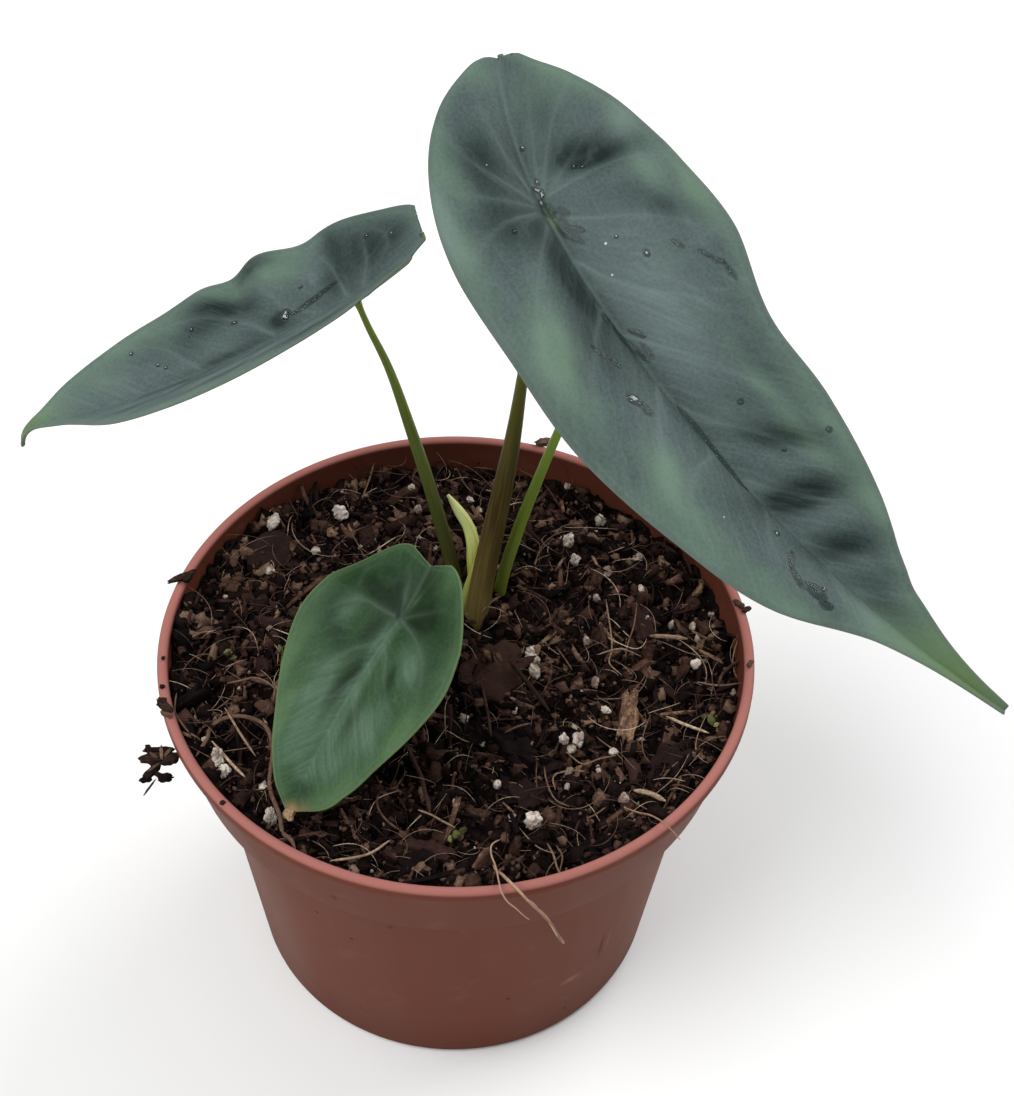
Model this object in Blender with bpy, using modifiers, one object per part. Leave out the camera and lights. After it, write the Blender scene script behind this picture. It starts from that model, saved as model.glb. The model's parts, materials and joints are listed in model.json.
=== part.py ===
# A young aroid with long shield-shaped leaves on slender stalks, growing in bark soil
# in a terracotta-coloured plastic nursery pot.
# Metres, +Z up. The origin is the middle of the pot's underside, on the surface it stands on.

import math

import bmesh
import bpy
import numpy as np
from mathutils import Euler, Matrix, Vector, noise

MM = 0.001
GAP = 0.3 * MM

# Pot
POT_HEIGHT = 88 * MM
RIM_RADIUS = 60 * MM
LIP_WIDTH = 2.2 * MM
LIP_HEIGHT = 2.4 * MM
COLLAR_HEIGHT = 19 * MM
COLLAR_FOOT_RADIUS = 56 * MM
BODY_TOP_RADIUS = 51.5 * MM
BASE_RADIUS = 45 * MM
POT_WALL = 1.4 * MM
POT_FLOOR = 2.8 * MM
BASE_FILLET = 2.0 * MM
FOOT_RING_INNER_RADIUS = 37 * MM
BASE_DISC_RADIUS = 14 * MM
BASE_RECESS = 1.2 * MM
DRAIN_COUNT = 8
DRAIN_RADIUS = 4 * MM
DRAIN_CIRCLE_RADIUS = 26 * MM
POT_STEPS = 44

# Soil
SOIL_LEVEL = 82 * MM
SOIL_SLOPE_X = -0.025
SOIL_SLOPE_Y = -0.02
SOIL_MOUND_HEIGHT = 1.6 * MM
SOIL_MOUND_RADIUS = 22 * MM
SOIL_LUMP_HEIGHT = 2.2 * MM
SOIL_LUMP_SIZE = 9 * MM
SOIL_RINGS = 13
SOIL_EXTRAS_RADIUS = 55.8 * MM

# Bark slabs that can be told apart on the soil: x, y, length, width and rise in millimetres,
# then the turn in degrees
SLABS = (
    (-39.5, 28.5, 12.0, 8.5, 1.2, 12.0),
    (8.0, -4.3, 13.0, 10.5, 1.0, 62.0),
    (11.6, -22.7, 11.5, 5.0, 1.3, -36.0),
    (2.2, -18.5, 8.0, 4.2, 0.9, -29.0),
    (-5.2, -47.0, 9.5, 3.6, 1.4, -15.0),
    (-6.8, -51.0, 6.5, 5.5, 0.6, 4.0),
    (14.0, -34.0, 6.8, 6.2, 1.2, 20.0),
    (34.0, -15.0, 13.0, 3.6, 1.5, 80.0),
    (38.5, 10.5, 9.0, 4.2, 1.3, 98.0),
    (41.0, -27.0, 9.0, 6.0, 0.8, 62.0),
)
SLAB_THICKNESS = 3.4 * MM
SLAB_RAGGEDNESS = 0.7 * MM
CHIP_COUNT = 12
CHIP_LENGTHS = (5 * MM, 10 * MM)
# Large grains of perlite: x, y and radius in millimetres
GRAINS = (
    (14.9, -39.9, 1.9),
    (14.9, 1.2, 1.9),
    (-40.2, 36.2, 1.5),
    (-45.6, -28.0, 1.6),
    (-34.6, -41.0, 1.7),
    (23.4, -20.6, 1.7),
    (1.4, -16.0, 1.4),
    (31.2, 41.1, 1.5),
)
GRAIN_COUNT = 12
GRAIN_RADII = (1.0 * MM, 1.6 * MM)
SCATTER_SEED = 11

# Crown, the buried stem that the stalks grow from
CROWN_X = 4 * MM
CROWN_Y = 14 * MM
CROWN_TOP = 74 * MM
CROWN_RADIUS = 10 * MM
CROWN_HEIGHT = 20 * MM
CROWN_EDGE = 1.2 * MM
CROWN_STEPS = 18
ROOT_COUNT = 4
ROOT_RADIUS = 1.6 * MM
ROOT_REACH = 24 * MM
ROOT_DEPTH = 34 * MM

# Leaf blades
BLADE_THICKNESS = 0.75 * MM
RIB_DEPTH = 0.9 * MM
RIB_HALF_WIDTH = 1.3 * MM
STALK_BEVEL_RESOLUTION = 2

# Each leaf is laid out flat and then bent. u runs along the midrib from the point where the
# stalk joins it, v across it, both in millimetres, and left is on the left of somebody who
# walks from the stalk to the tip. The angles are in degrees, and each turn is the change
# between the joint and the tip, or the joint and the rear end.
# stations: share of the length from the rear end, left half width, right half width.
# waves: side (1 left, -1 right, 0 both), u, reach along u, v, reach along v, height, slant.
BIG_LEAF = {
    "joint": (14.5, 20.2, 178.0),
    "front": 117.5,
    "rear": 32.6,
    "heading": -61.0,
    "heading_turn": 41.0,
    "heading_turn_rear": -24.0,
    "pitch": -23.5,
    "pitch_turn": -5.0,
    "pitch_turn_rear": 0.5,
    "tip_droop": 0.0,
    "roll": 9.0,
    "roll_turn": 4.5,
    "roll_turn_rear": -5.0,
    "fold_left": 26.5,
    "fold_right": 26.0,
    "fold_tip": 18.5,
    "curl_left": -4.0,
    "curl_right": -47.0,
    "notch": -0.8,
    "lobe_skew": 0.0,
    "stations": (
        (0.00, 2.5, 2.5),
        (0.02, 6.8, 7.0),
        (0.06, 13.0, 12.0),
        (0.13, 19.5, 16.8),
        (0.24, 24.0, 20.3),
        (0.36, 25.8, 20.2),
        (0.48, 21.3, 20.8),
        (0.60, 19.9, 18.5),
        (0.72, 14.8, 14.8),
        (0.83, 6.6, 5.4),
        (0.92, 2.6, 1.9),
        (1.00, 0.8, 0.8),
    ),
    "quilt": (12.0, 0.30, 0.95),
    "waves": (
        (1, -6.5, 3.5, 11.5, 6.0, -1.8, 0.0),
        (1, -4.0, 4.0, 17.0, 7.0, 0.8, 0.3),
        (1, 3.0, 5.0, 21.0, 4.5, -0.9, 0.5),
        (1, 43.0, 8.0, 15.5, 3.0, -1.3, 0.0),
        (1, 49.0, 4.5, 9.5, 4.0, -1.6, 0.9),
        (1, 62.5, 3.5, 6.5, 4.5, -1.8, 0.7),
        (1, 75.0, 3.5, 4.5, 4.0, -1.6, 0.8),
        (1, 84.5, 3.5, 4.7, 3.0, -0.9, 0.8),
        (-1, -12.0, 4.5, 8.9, 4.0, -1.2, 0.0),
        (-1, 0.0, 4.0, 11.5, 4.0, -1.0, 0.0),
        (-1, 18.0, 10.0, 12.5, 4.0, 1.5, 0.2),
        (-1, 19.0, 8.0, 4.5, 3.0, -0.9, 0.2),
    ),
}
LEFT_LEAF = {
    "joint": (-20.4, 27.2, 154.0),
    "front": 74.8,
    "rear": 17.6,
    "heading": 192.5,
    "heading_turn": -14.0,
    "heading_turn_rear": -15.0,
    "pitch": -31.0,
    "pitch_turn": 14.5,
    "pitch_turn_rear": -14.0,
    "tip_droop": -70.0,
    "roll": 5.5,
    "roll_turn": -14.0,
    "roll_turn_rear": -6.5,
    "fold_left": 30.5,
    "fold_right": 29.5,
    "fold_tip": 0.0,
    "curl_left": -10.5,
    "curl_right": -10.0,
    "notch": 4.0,
    "lobe_skew": 2.8,
    "stations": (
        (0.00, 2.4, 1.8),
        (0.03, 8.8, 9.1),
        (0.09, 12.4, 12.5),
        (0.18, 16.0, 16.0),
        (0.30, 17.0, 18.2),
        (0.44, 17.0, 17.7),
        (0.58, 15.2, 14.7),
        (0.72, 11.3, 11.7),
        (0.86, 2.8, 6.2),
        (0.94, 0.8, 1.4),
        (1.00, 0.5, 0.5),
    ),
    "quilt": (8.0, 0.25, 0.95),
    "waves": (
        (-1, 7.0, 5.9, 15.0, 9.0, -2.8, 0.0),
        (-1, 22.5, 4.4, 15.0, 8.0, -2.7, 0.0),
    ),
}
SMALL_LEAF = {
    "joint": (-11.0, -14.9, 111.0),
    "front": 40.8,
    "rear": 13.5,
    "heading": -129.0,
    "heading_turn": 5.5,
    "heading_turn_rear": 6.5,
    "pitch": -25.5,
    "pitch_turn": -18.0,
    "pitch_turn_rear": -17.0,
    "tip_droop": 0.0,
    "roll": 1.5,
    "roll_turn": -9.0,
    "roll_turn_rear": 22.0,
    "fold_left": 15.0,
    "fold_right": 14.0,
    "fold_tip": 0.0,
    "curl_left": -12.0,
    "curl_right": -13.5,
    "notch": 2.0,
    "lobe_skew": 0.0,
    "stations": (
        (0.00, 5.7, 5.9),
        (0.04, 10.2, 10.3),
        (0.12, 12.8, 13.3),
        (0.25, 15.8, 16.6),
        (0.40, 17.5, 17.4),
        (0.56, 15.8, 14.8),
        (0.72, 12.5, 10.9),
        (0.86, 9.2, 7.2),
        (0.95, 5.6, 3.8),
        (1.00, 0.8, 0.8),
    ),
    "quilt": (7.0, 0.30, 0.95),
    "waves": (
        (1, 1.0, 5.0, 8.5, 3.0, 0.5, 0.5),
        (-1, 3.0, 3.5, 4.0, 3.0, -0.4, 0.5),
        (-1, 14.0, 3.5, 5.0, 3.0, -0.4, 0.5),
    ),
}
BACK_LEAF = {
    "joint": (26.6, 29.5, 142.0),
    "front": 36.0,
    "rear": 10.0,
    "heading": -22.0,
    "heading_turn": 12.0,
    "heading_turn_rear": 0.0,
    "pitch": -20.0,
    "pitch_turn": -16.0,
    "pitch_turn_rear": 6.0,
    "tip_droop": -20.0,
    "roll": 0.0,
    "roll_turn": 5.0,
    "roll_turn_rear": 0.0,
    "fold_left": 20.0,
    "fold_right": 20.0,
    "fold_tip": 10.0,
    "curl_left": -14.0,
    "curl_right": -14.0,
    "notch": 1.6,
    "lobe_skew": 0.0,
    "stations": (
        (0.00, 3.0, 3.0),
        (0.04, 6.8, 6.8),
        (0.12, 9.4, 9.4),
        (0.25, 11.6, 11.6),
        (0.40, 12.0, 12.0),
        (0.56, 10.6, 10.6),
        (0.72, 7.6, 7.6),
        (0.86, 3.6, 3.6),
        (0.95, 1.4, 1.4),
        (1.00, 0.6, 0.6),
    ),
    "quilt": (7.0, 0.25, 0.95),
    "waves": (),
}
DROOP_START = 0.9
NOTCH_REACH = 0.2
SKEW_REACH = 0.3

# Stalks: points from the crown upwards, each with the stalk's radius there, in millimetres.
# The top of each stalk is worked out from its blade.
BIG_STALK = (
    (3.8, 9.9, 74.4, 2.6),
    (3.8, 9.9, 82.0, 2.6),
    (4.9, 14.0, 89.0, 2.5),
    (6.4, 17.2, 97.0, 2.35),
    (8.5, 19.6, 110.0, 2.1),
    (10.3, 20.2, 124.5, 1.6),
    (11.6, 19.4, 141.0, 1.1),
    (12.9, 18.6, 158.0, 0.95),
)
LEFT_STALK = (
    (-0.1, 17.9, 74.4, 1.5),
    (-0.1, 17.9, 81.0, 1.5),
    (-0.9, 19.2, 86.0, 1.5),
    (-4.6, 22.7, 102.0, 1.4),
    (-9.7, 26.9, 120.0, 1.15),
    (-14.5, 28.8, 136.5, 0.8),
    (-17.6, 28.8, 145.0, 0.65),
)
BACK_STALK = (
    (8.7, 18.0, 74.4, 1.3),
    (8.7, 18.0, 81.0, 1.3),
    (12.4, 22.5, 97.0, 1.25),
    (15.4, 24.5, 107.0, 1.1),
    (18.9, 25.8, 119.0, 0.95),
    (22.4, 27.2, 130.0, 0.9),
)
SMALL_STALK = (
    (-0.6, 8.2, 74.4, 1.3),
    (-0.6, 8.2, 79.0, 1.3),
    (-3.6, 3.6, 89.0, 1.2),
    (-7.6, -4.4, 99.0, 1.0),
)
STALK_TOP_RADII = {"big": 0.85 * MM, "left": 0.6 * MM, "small": 0.8 * MM, "back": 0.8 * MM}
STALK_TOP_RUN = 2.5 * MM
STALK_STEPS = 16

# New shoot, a rolled leaf that has not opened: the same four values
SHOOT = (
    (3.3, 19.2, 74.4, 1.2),
    (3.3, 19.2, 84.0, 1.2),
    (3.2, 20.2, 89.5, 1.5),
    (3.1, 21.4, 92.8, 1.5),
    (2.2, 23.2, 96.0, 1.35),
    (-0.2, 24.7, 100.0, 1.1),
    (-2.3, 25.9, 103.0, 0.35),
)
SHOOT_STEPS = 14

# Bark scrap that clings to the outside of the collar under the lip. Each splinter:
# x, y, z, length, width, height in millimetres, then the turn in degrees
SPLINTERS = (
    (-56.0, -27.9, 83.2, 6.2, 4.2, 3.0, 206.0),
    (-58.9, -26.0, 84.0, 3.2, 2.2, 1.8, 150.0),
    (-56.7, -31.6, 83.4, 4.6, 3.4, 2.4, 118.0),
    (-58.0, -34.0, 83.2, 2.8, 0.9, 0.9, 58.0),
)

# Coir fibre that hangs over the front of the rim, from its end on the soil:
# x, y, z and radius in millimetres
RIM_FIBRE = (
    (7.0, -51.6, 84.8, 0.40),
    (7.6, -53.6, 86.0, 0.42),
    (8.6, -56.0, 88.5, 0.45),
    (10.2, -58.6, 89.7, 0.45),
    (11.6, -60.0, 89.4, 0.42),
    (13.6, -60.9, 87.0, 0.40),
    (16.0, -61.0, 83.4, 0.42),
    (19.3, -60.4, 74.9, 0.50),
    (20.4, -60.0, 72.0, 0.62),
)


def new_collection(name):
    """Make a collection under the scene's own."""
    group = bpy.data.collections.new(name)
    bpy.context.scene.collection.children.link(group)
    return group


def new_material(name, colour, roughness):
    """Make a plain material; the colour is a linear one."""
    material = bpy.data.materials.new(name)
    material.use_nodes = True
    shader = material.node_tree.nodes["Principled BSDF"]
    shader.inputs["Base Color"].default_value = (*colour, 1.0)
    shader.inputs["Roughness"].default_value = roughness
    shader.inputs["Metallic"].default_value = 0.0
    return material


def add_object(name, mesh, group, material=None):
    """Put a mesh in the scene as a smooth-shaded object."""
    obj = bpy.data.objects.new(name, mesh)
    group.objects.link(obj)
    if material:
        mesh.materials.append(material)
    mesh.shade_smooth()
    mesh.set_sharp_from_angle(angle=math.radians(40))
    return obj


def evaluated_mesh(obj):
    """Return the object's mesh with its modifiers or bevel applied, doubles merged."""
    graph = bpy.context.evaluated_depsgraph_get()
    graph.update()
    mesh = bpy.data.meshes.new_from_object(obj.evaluated_get(graph))
    shape = bmesh.new()
    shape.from_mesh(mesh)
    bmesh.ops.remove_doubles(shape, verts=shape.verts, dist=0.005 * MM)
    shape.to_mesh(mesh)
    shape.free()
    return mesh


def as_cutter(obj):
    """Show a cutter as wires only, and keep it out of renders."""
    obj.hide_render = True
    obj.display_type = "WIRE"


def arc(centre_x, centre_z, radius, start, end, steps):
    """Points of an arc in the XZ plane, angles in degrees."""
    turns = [math.radians(start + (end - start) * i / steps) for i in range(steps + 1)]
    return [(centre_x + radius * math.cos(a), centre_z + radius * math.sin(a)) for a in turns]


def turned(name, profile, steps, group, material=None):
    """Turn a profile of (radius, height) points round the Z axis."""
    mesh = bpy.data.meshes.new(name)
    edges = [(i, i + 1) for i in range(len(profile) - 1)]
    mesh.from_pydata([(x, 0.0, z) for x, z in profile], edges, [])
    obj = add_object(name, mesh, group, material)
    screw = obj.modifiers.new("Turn", "SCREW")
    screw.steps = steps
    screw.render_steps = steps
    screw.use_merge_vertices = True
    screw.merge_threshold = 0.01 * MM
    return obj


def boolean(obj, operation, operand_group):
    """Join or cut an object with every object of a collection."""
    modifier = obj.modifiers.new(operation.title(), "BOOLEAN")
    modifier.operation = operation
    modifier.operand_type = "COLLECTION"
    modifier.collection = operand_group
    modifier.solver = "EXACT"
    return modifier


def remove_collection(group):
    """Remove a collection with the objects in it."""
    for obj in list(group.objects):
        bpy.data.objects.remove(obj)
    bpy.data.collections.remove(group)


# Pot

def collar_inner_radius(z):
    """Inner radius of the collar at a height."""
    share = (POT_HEIGHT - z) / COLLAR_HEIGHT
    return RIM_RADIUS + (COLLAR_FOOT_RADIUS - RIM_RADIUS) * share - POT_WALL


def body_inner_radius(z):
    """Inner radius of the body below the collar at a height."""
    share = z / (POT_HEIGHT - COLLAR_HEIGHT)
    return BASE_RADIUS + (BODY_TOP_RADIUS - BASE_RADIUS) * share - POT_WALL


def pot_profile():
    """Pot wall, from the middle of the inner floor over the lip to the middle of the underside."""
    collar_foot = POT_HEIGHT - COLLAR_HEIGHT
    ledge = collar_foot + POT_WALL
    lip = LIP_WIDTH / 2
    lip_x = RIM_RADIUS - lip
    lip_foot = POT_HEIGHT - LIP_HEIGHT
    inner_fillet = BASE_FILLET
    floor_x = body_inner_radius(POT_FLOOR) - inner_fillet
    points = [(0.0, POT_FLOOR)]
    points += arc(floor_x, POT_FLOOR + inner_fillet, inner_fillet, -90, 0, 2)
    points += [(body_inner_radius(ledge), ledge), (collar_inner_radius(ledge), ledge)]
    points += [(collar_inner_radius(lip_foot), lip_foot)]
    points += arc(lip_x, POT_HEIGHT - lip, lip, 180, 0, 5)
    points += [(RIM_RADIUS, lip_foot), (RIM_RADIUS - 0.4 * MM, lip_foot - 0.5 * MM)]
    points += [(COLLAR_FOOT_RADIUS, collar_foot), (BODY_TOP_RADIUS, collar_foot)]
    base_x = BASE_RADIUS - BASE_FILLET
    points += arc(base_x, BASE_FILLET, BASE_FILLET, 0, -90, 3)
    points += [(FOOT_RING_INNER_RADIUS, 0.0), (FOOT_RING_INNER_RADIUS - 1 * MM, BASE_RECESS)]
    points += [(BASE_DISC_RADIUS + 1 * MM, BASE_RECESS), (BASE_DISC_RADIUS, 0.0), (0.0, 0.0)]
    return points


def make_pot(group, cutters, material):
    """Turned pot with a ring of drainage holes through its floor."""
    pot = turned("pot", pot_profile(), POT_STEPS, group, material)
    for i in range(DRAIN_COUNT):
        turn = 2 * math.pi * i / DRAIN_COUNT
        shape = bmesh.new()
        bmesh.ops.create_cone(
            shape, cap_ends=True, segments=12, depth=4 * POT_FLOOR,
            radius1=DRAIN_RADIUS, radius2=DRAIN_RADIUS)
        mesh = bpy.data.meshes.new("drain_cutter")
        shape.to_mesh(mesh)
        shape.free()
        cutter = add_object(f"drain_cutter_{i + 1}", mesh, cutters)
        cutter.location = (
            DRAIN_CIRCLE_RADIUS * math.cos(turn), DRAIN_CIRCLE_RADIUS * math.sin(turn), 0.0)
        as_cutter(cutter)
    boolean(pot, "DIFFERENCE", cutters)
    return pot


# Soil

def soil_height(x, y):
    """Height of the soil's surface, with its lumps."""
    radius = math.hypot(x, y)
    crown = math.hypot(x - CROWN_X, y - CROWN_Y)
    height = SOIL_LEVEL + SOIL_SLOPE_X * x + SOIL_SLOPE_Y * y
    height += SOIL_MOUND_HEIGHT * math.exp(-((crown / SOIL_MOUND_RADIUS) ** 2))
    place = Vector((x, y, 0.0)) / SOIL_LUMP_SIZE
    lumps = noise.noise(place) + 0.6 * noise.noise(place * 2.3 + Vector((5.0, 2.0, 1.0)))
    calm = 1.0 - 0.75 * math.exp(-((crown / (1.1 * CROWN_RADIUS)) ** 2))
    edge = min(1.0, max(0.25, (RIM_RADIUS - radius) / (8 * MM)))
    return height + SOIL_LUMP_HEIGHT * lumps * calm * edge


def soil_profile():
    """Soil body, from the middle of its top down its side to the middle of its bottom."""
    top = POT_HEIGHT - 3 * MM
    ledge = POT_HEIGHT - COLLAR_HEIGHT + POT_WALL + GAP
    bottom = POT_FLOOR + GAP
    fillet = BASE_FILLET + 1 * MM
    edge_x = collar_inner_radius(top) - GAP
    points = [(edge_x * i / SOIL_RINGS, top) for i in range(SOIL_RINGS + 1)]
    points += [(collar_inner_radius(ledge) - GAP, ledge)]
    points += [(body_inner_radius(ledge) - GAP, ledge)]
    points += [(body_inner_radius(bottom + fillet) - GAP, bottom + fillet)]
    points += [(body_inner_radius(bottom) - GAP - fillet, bottom), (0.0, bottom)]
    return points


def far_from_crown(x, y, reach):
    """Whether a place on the soil is farther than reach from the middle of the crown."""
    return math.hypot(x - CROWN_X, y - CROWN_Y) > reach


def keep_in_collar(shape):
    """Pull what would touch the pot's wall back towards the middle."""
    for vert in shape.verts:
        radius = math.hypot(vert.co.x, vert.co.y)
        if radius > SOIL_EXTRAS_RADIUS:
            vert.co.x *= SOIL_EXTRAS_RADIUS / radius
            vert.co.y *= SOIL_EXTRAS_RADIUS / radius


def add_slab(rng, name, place, size, rise, turn, group):
    """One flat ragged slab of bark, half sunk in the soil."""
    shape = bmesh.new()
    bmesh.ops.create_cube(shape, size=1.0)
    bmesh.ops.scale(shape, verts=shape.verts, vec=(*size, SLAB_THICKNESS))
    for vert in shape.verts:
        vert.co += Vector(rng.uniform(-1, 1, 3)) * SLAB_RAGGEDNESS
    tilt = Euler(rng.uniform(-0.2, 0.2, 2).tolist() + [turn])
    bmesh.ops.transform(shape, verts=shape.verts, matrix=tilt.to_matrix().to_4x4())
    height = soil_height(*place) + rise - SLAB_THICKNESS / 2
    bmesh.ops.translate(shape, verts=shape.verts, vec=(*place, height))
    keep_in_collar(shape)
    bmesh.ops.triangulate(shape, faces=shape.faces)
    mesh = bpy.data.meshes.new(name)
    shape.to_mesh(mesh)
    shape.free()
    add_object(name, mesh, group)


def add_grain(name, place, radius, group):
    """One grain of perlite, two thirds out of the soil."""
    shape = bmesh.new()
    bmesh.ops.create_icosphere(shape, subdivisions=1, radius=radius)
    height = soil_height(*place) + radius / 4
    bmesh.ops.translate(shape, verts=shape.verts, vec=(*place, height))
    keep_in_collar(shape)
    mesh = bpy.data.meshes.new(name)
    shape.to_mesh(mesh)
    shape.free()
    add_object(name, mesh, group)


def random_place(rng, inner, outer):
    """An even draw of a place on the soil between two radii."""
    radius = math.sqrt(rng.uniform(inner ** 2, outer ** 2))
    turn = rng.uniform(0, 2 * math.pi)
    return radius * math.cos(turn), radius * math.sin(turn)


def add_soil_extras(group):
    """Slabs and grains: those that can be told apart, then a seeded draw of more."""
    rng = np.random.default_rng(SCATTER_SEED)
    for i, (x, y, length, width, rise, turn) in enumerate(SLABS):
        add_slab(
            rng, f"slab_{i + 1}", (x * MM, y * MM), (length * MM, width * MM), rise * MM,
            math.radians(turn), group)
    for i, (x, y, radius) in enumerate(GRAINS):
        add_grain(f"grain_{i + 1}", (x * MM, y * MM), radius * MM, group)
    for i in range(CHIP_COUNT):
        place = random_place(rng, 14 * MM, 48 * MM)
        length = rng.uniform(*CHIP_LENGTHS)
        size = (length, length * rng.uniform(0.35, 0.6))
        turn = rng.uniform(0, math.pi)
        if far_from_crown(*place, 20 * MM):
            add_slab(rng, f"chip_{i + 1}", place, size, 1.0 * MM, turn, group)
    for i in range(GRAIN_COUNT):
        place = random_place(rng, 8 * MM, 53 * MM)
        radius = rng.uniform(*GRAIN_RADII)
        if far_from_crown(*place, 15 * MM):
            add_grain(f"small_grain_{i + 1}", place, radius, group)


def make_soil(group, cutters, material):
    """Soil body with lumps, bark slabs and grains on top, and holes for crown and stalks."""
    blank = turned("soil_blank", soil_profile(), POT_STEPS, group)
    mesh = evaluated_mesh(blank)
    bpy.data.objects.remove(blank)
    top = POT_HEIGHT - 3 * MM
    edge_x = collar_inner_radius(top) - GAP
    for vert in mesh.vertices:
        if vert.co.z > top - 0.01 * MM:
            x, y = vert.co.x, vert.co.y
            vert.co.z = soil_height(x, y)
            if math.hypot(x, y) > edge_x - 0.1 * MM:
                vert.co.z = min(vert.co.z, POT_HEIGHT - LIP_HEIGHT)
                slim = (collar_inner_radius(vert.co.z) - GAP) / math.hypot(x, y)
                vert.co.x, vert.co.y = x * slim, y * slim
    soil = add_object("soil", mesh, group, material)
    extras = new_collection("soil_extras")
    add_soil_extras(extras)
    join = boolean(soil, "UNION", extras)
    joined = evaluated_mesh(soil)
    soil.modifiers.remove(join)
    soil.data = joined
    remove_collection(extras)
    boolean(soil, "DIFFERENCE", cutters)
    return soil


# Crown

def crown_profile(extra):
    """Turnip-like stem base; extra widens it for the hole in the soil."""
    top = CROWN_TOP + extra
    wide = CROWN_RADIUS + extra
    shoulder = CROWN_TOP - 0.35 * CROWN_HEIGHT
    waist = CROWN_TOP - 0.75 * CROWN_HEIGHT - extra
    bottom = CROWN_TOP - CROWN_HEIGHT - extra
    return [
        (0.0, top), (wide - CROWN_EDGE, top), (wide, top - CROWN_EDGE),
        (0.96 * CROWN_RADIUS + extra, shoulder), (0.7 * CROWN_RADIUS + extra, waist),
        (0.35 * CROWN_RADIUS + extra, bottom), (0.0, bottom)]


def tube(name, points, group, material=None, resolution=STALK_BEVEL_RESOLUTION):
    """Closed tube through points of (x, y, z, radius), in metres, as a welded mesh."""
    curve = bpy.data.curves.new(name, "CURVE")
    curve.dimensions = "3D"
    curve.bevel_depth = 1.0
    curve.bevel_resolution = resolution
    curve.use_fill_caps = True
    spline = curve.splines.new("POLY")
    spline.points.add(len(points) - 1)
    for point, (x, y, z, radius) in zip(spline.points, points):
        point.co = (x, y, z, 1.0)
        point.radius = radius
    guide = bpy.data.objects.new(name + "_path", curve)
    group.objects.link(guide)
    mesh = evaluated_mesh(guide)
    mesh.name = name
    bpy.data.objects.remove(guide)
    return add_object(name, mesh, group, material)


def smooth_path(points, step_count):
    """Points of a smooth curve through the given ones, four values each."""
    given = np.array(points, dtype=float)
    along = np.concatenate([[0.0], np.cumsum(np.linalg.norm(np.diff(given[:, :3], axis=0), axis=1))])
    wanted = np.linspace(0.0, along[-1], step_count)
    return [tuple(row) for row in np.stack([spline(wanted, along, given[:, k]) for k in range(4)], 1)]


def root_path(index, extra):
    """One thick root that runs out and down from the crown."""
    turn = 2 * math.pi * (index + 0.3) / ROOT_COUNT
    points = []
    for share in np.linspace(0.0, 1.0, 6):
        reach = 4 * MM + ROOT_REACH * math.sin(share * math.pi / 2)
        wander = turn + 0.35 * math.sin(3.1 * share + index)
        points.append((
            CROWN_X + reach * math.cos(wander),
            CROWN_Y + reach * math.sin(wander),
            CROWN_TOP - 0.5 * CROWN_HEIGHT - ROOT_DEPTH * share ** 1.5,
            ROOT_RADIUS * (1.0 - 0.6 * share) + extra))
    if extra:
        before, end = Vector(points[-2][:3]), Vector(points[-1][:3])
        points.append((*(end + (end - before).normalized() * extra), points[-1][3]))
    return points


def make_crown(group, material):
    """Crown with its main roots joined to it."""
    blank = turned("crown_blank", crown_profile(0.0), CROWN_STEPS, group)
    mesh = evaluated_mesh(blank)
    mesh.transform(Matrix.Translation((CROWN_X, CROWN_Y, 0.0)))
    bpy.data.objects.remove(blank)
    crown = add_object("crown", mesh, group, material)
    roots = new_collection("crown_roots")
    for i in range(ROOT_COUNT):
        tube(f"root_{i + 1}", root_path(i, 0.0), roots, resolution=1)
    join = boolean(crown, "UNION", roots)
    joined = evaluated_mesh(crown)
    crown.modifiers.remove(join)
    crown.data = joined
    remove_collection(roots)
    return crown


def crown_cutters(cutters):
    """The crown and its roots, wider by the gap, to cut their place in the soil."""
    blank = turned("crown_cutter", crown_profile(GAP), CROWN_STEPS, cutters)
    blank.location = (CROWN_X, CROWN_Y, 0.0)
    as_cutter(blank)
    for i in range(ROOT_COUNT):
        as_cutter(tube(f"root_cutter_{i + 1}", root_path(i, GAP), cutters, resolution=1))


# Leaves

def spline(x, xs, ys):
    """Smooth curve through (xs, ys), read at x."""
    xs = np.asarray(xs, dtype=float)
    ys = np.asarray(ys, dtype=float)
    slopes = np.gradient(ys, xs)
    i = np.clip(np.searchsorted(xs, x) - 1, 0, len(xs) - 2)
    width = xs[i + 1] - xs[i]
    t = (x - xs[i]) / width
    rise = (2 * t ** 3 - 3 * t ** 2 + 1) * ys[i] + (3 * t ** 2 - 2 * t ** 3) * ys[i + 1]
    lean = (t ** 3 - 2 * t ** 2 + t) * slopes[i] + (t ** 3 - t ** 2) * slopes[i + 1]
    return rise + lean * width


def midrib_directions(leaf, u):
    """Unit vectors along the midrib, to the left of it and out of the upper face, at each u."""
    ahead = np.clip(u / leaf["front"], 0.0, 1.0)
    behind = np.clip(-u / leaf["rear"], 0.0, 1.0)
    drooping = np.clip((ahead - DROOP_START) / (1.0 - DROOP_START), 0.0, 1.0)

    def angle(name):
        return leaf[name] + leaf[name + "_turn"] * ahead + leaf[name + "_turn_rear"] * behind

    heading = np.radians(angle("heading"))
    pitch = np.radians(angle("pitch") + leaf["tip_droop"] * drooping)
    roll = np.radians(angle("roll"))[:, None]
    along = np.stack(
        [np.cos(pitch) * np.cos(heading), np.cos(pitch) * np.sin(heading), np.sin(pitch)], 1)
    level = np.stack([-np.sin(heading), np.cos(heading), 0 * heading], 1)
    left = level * np.cos(roll) + np.cross(along, level) * np.sin(roll)
    return along, left, np.cross(along, left)


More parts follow.
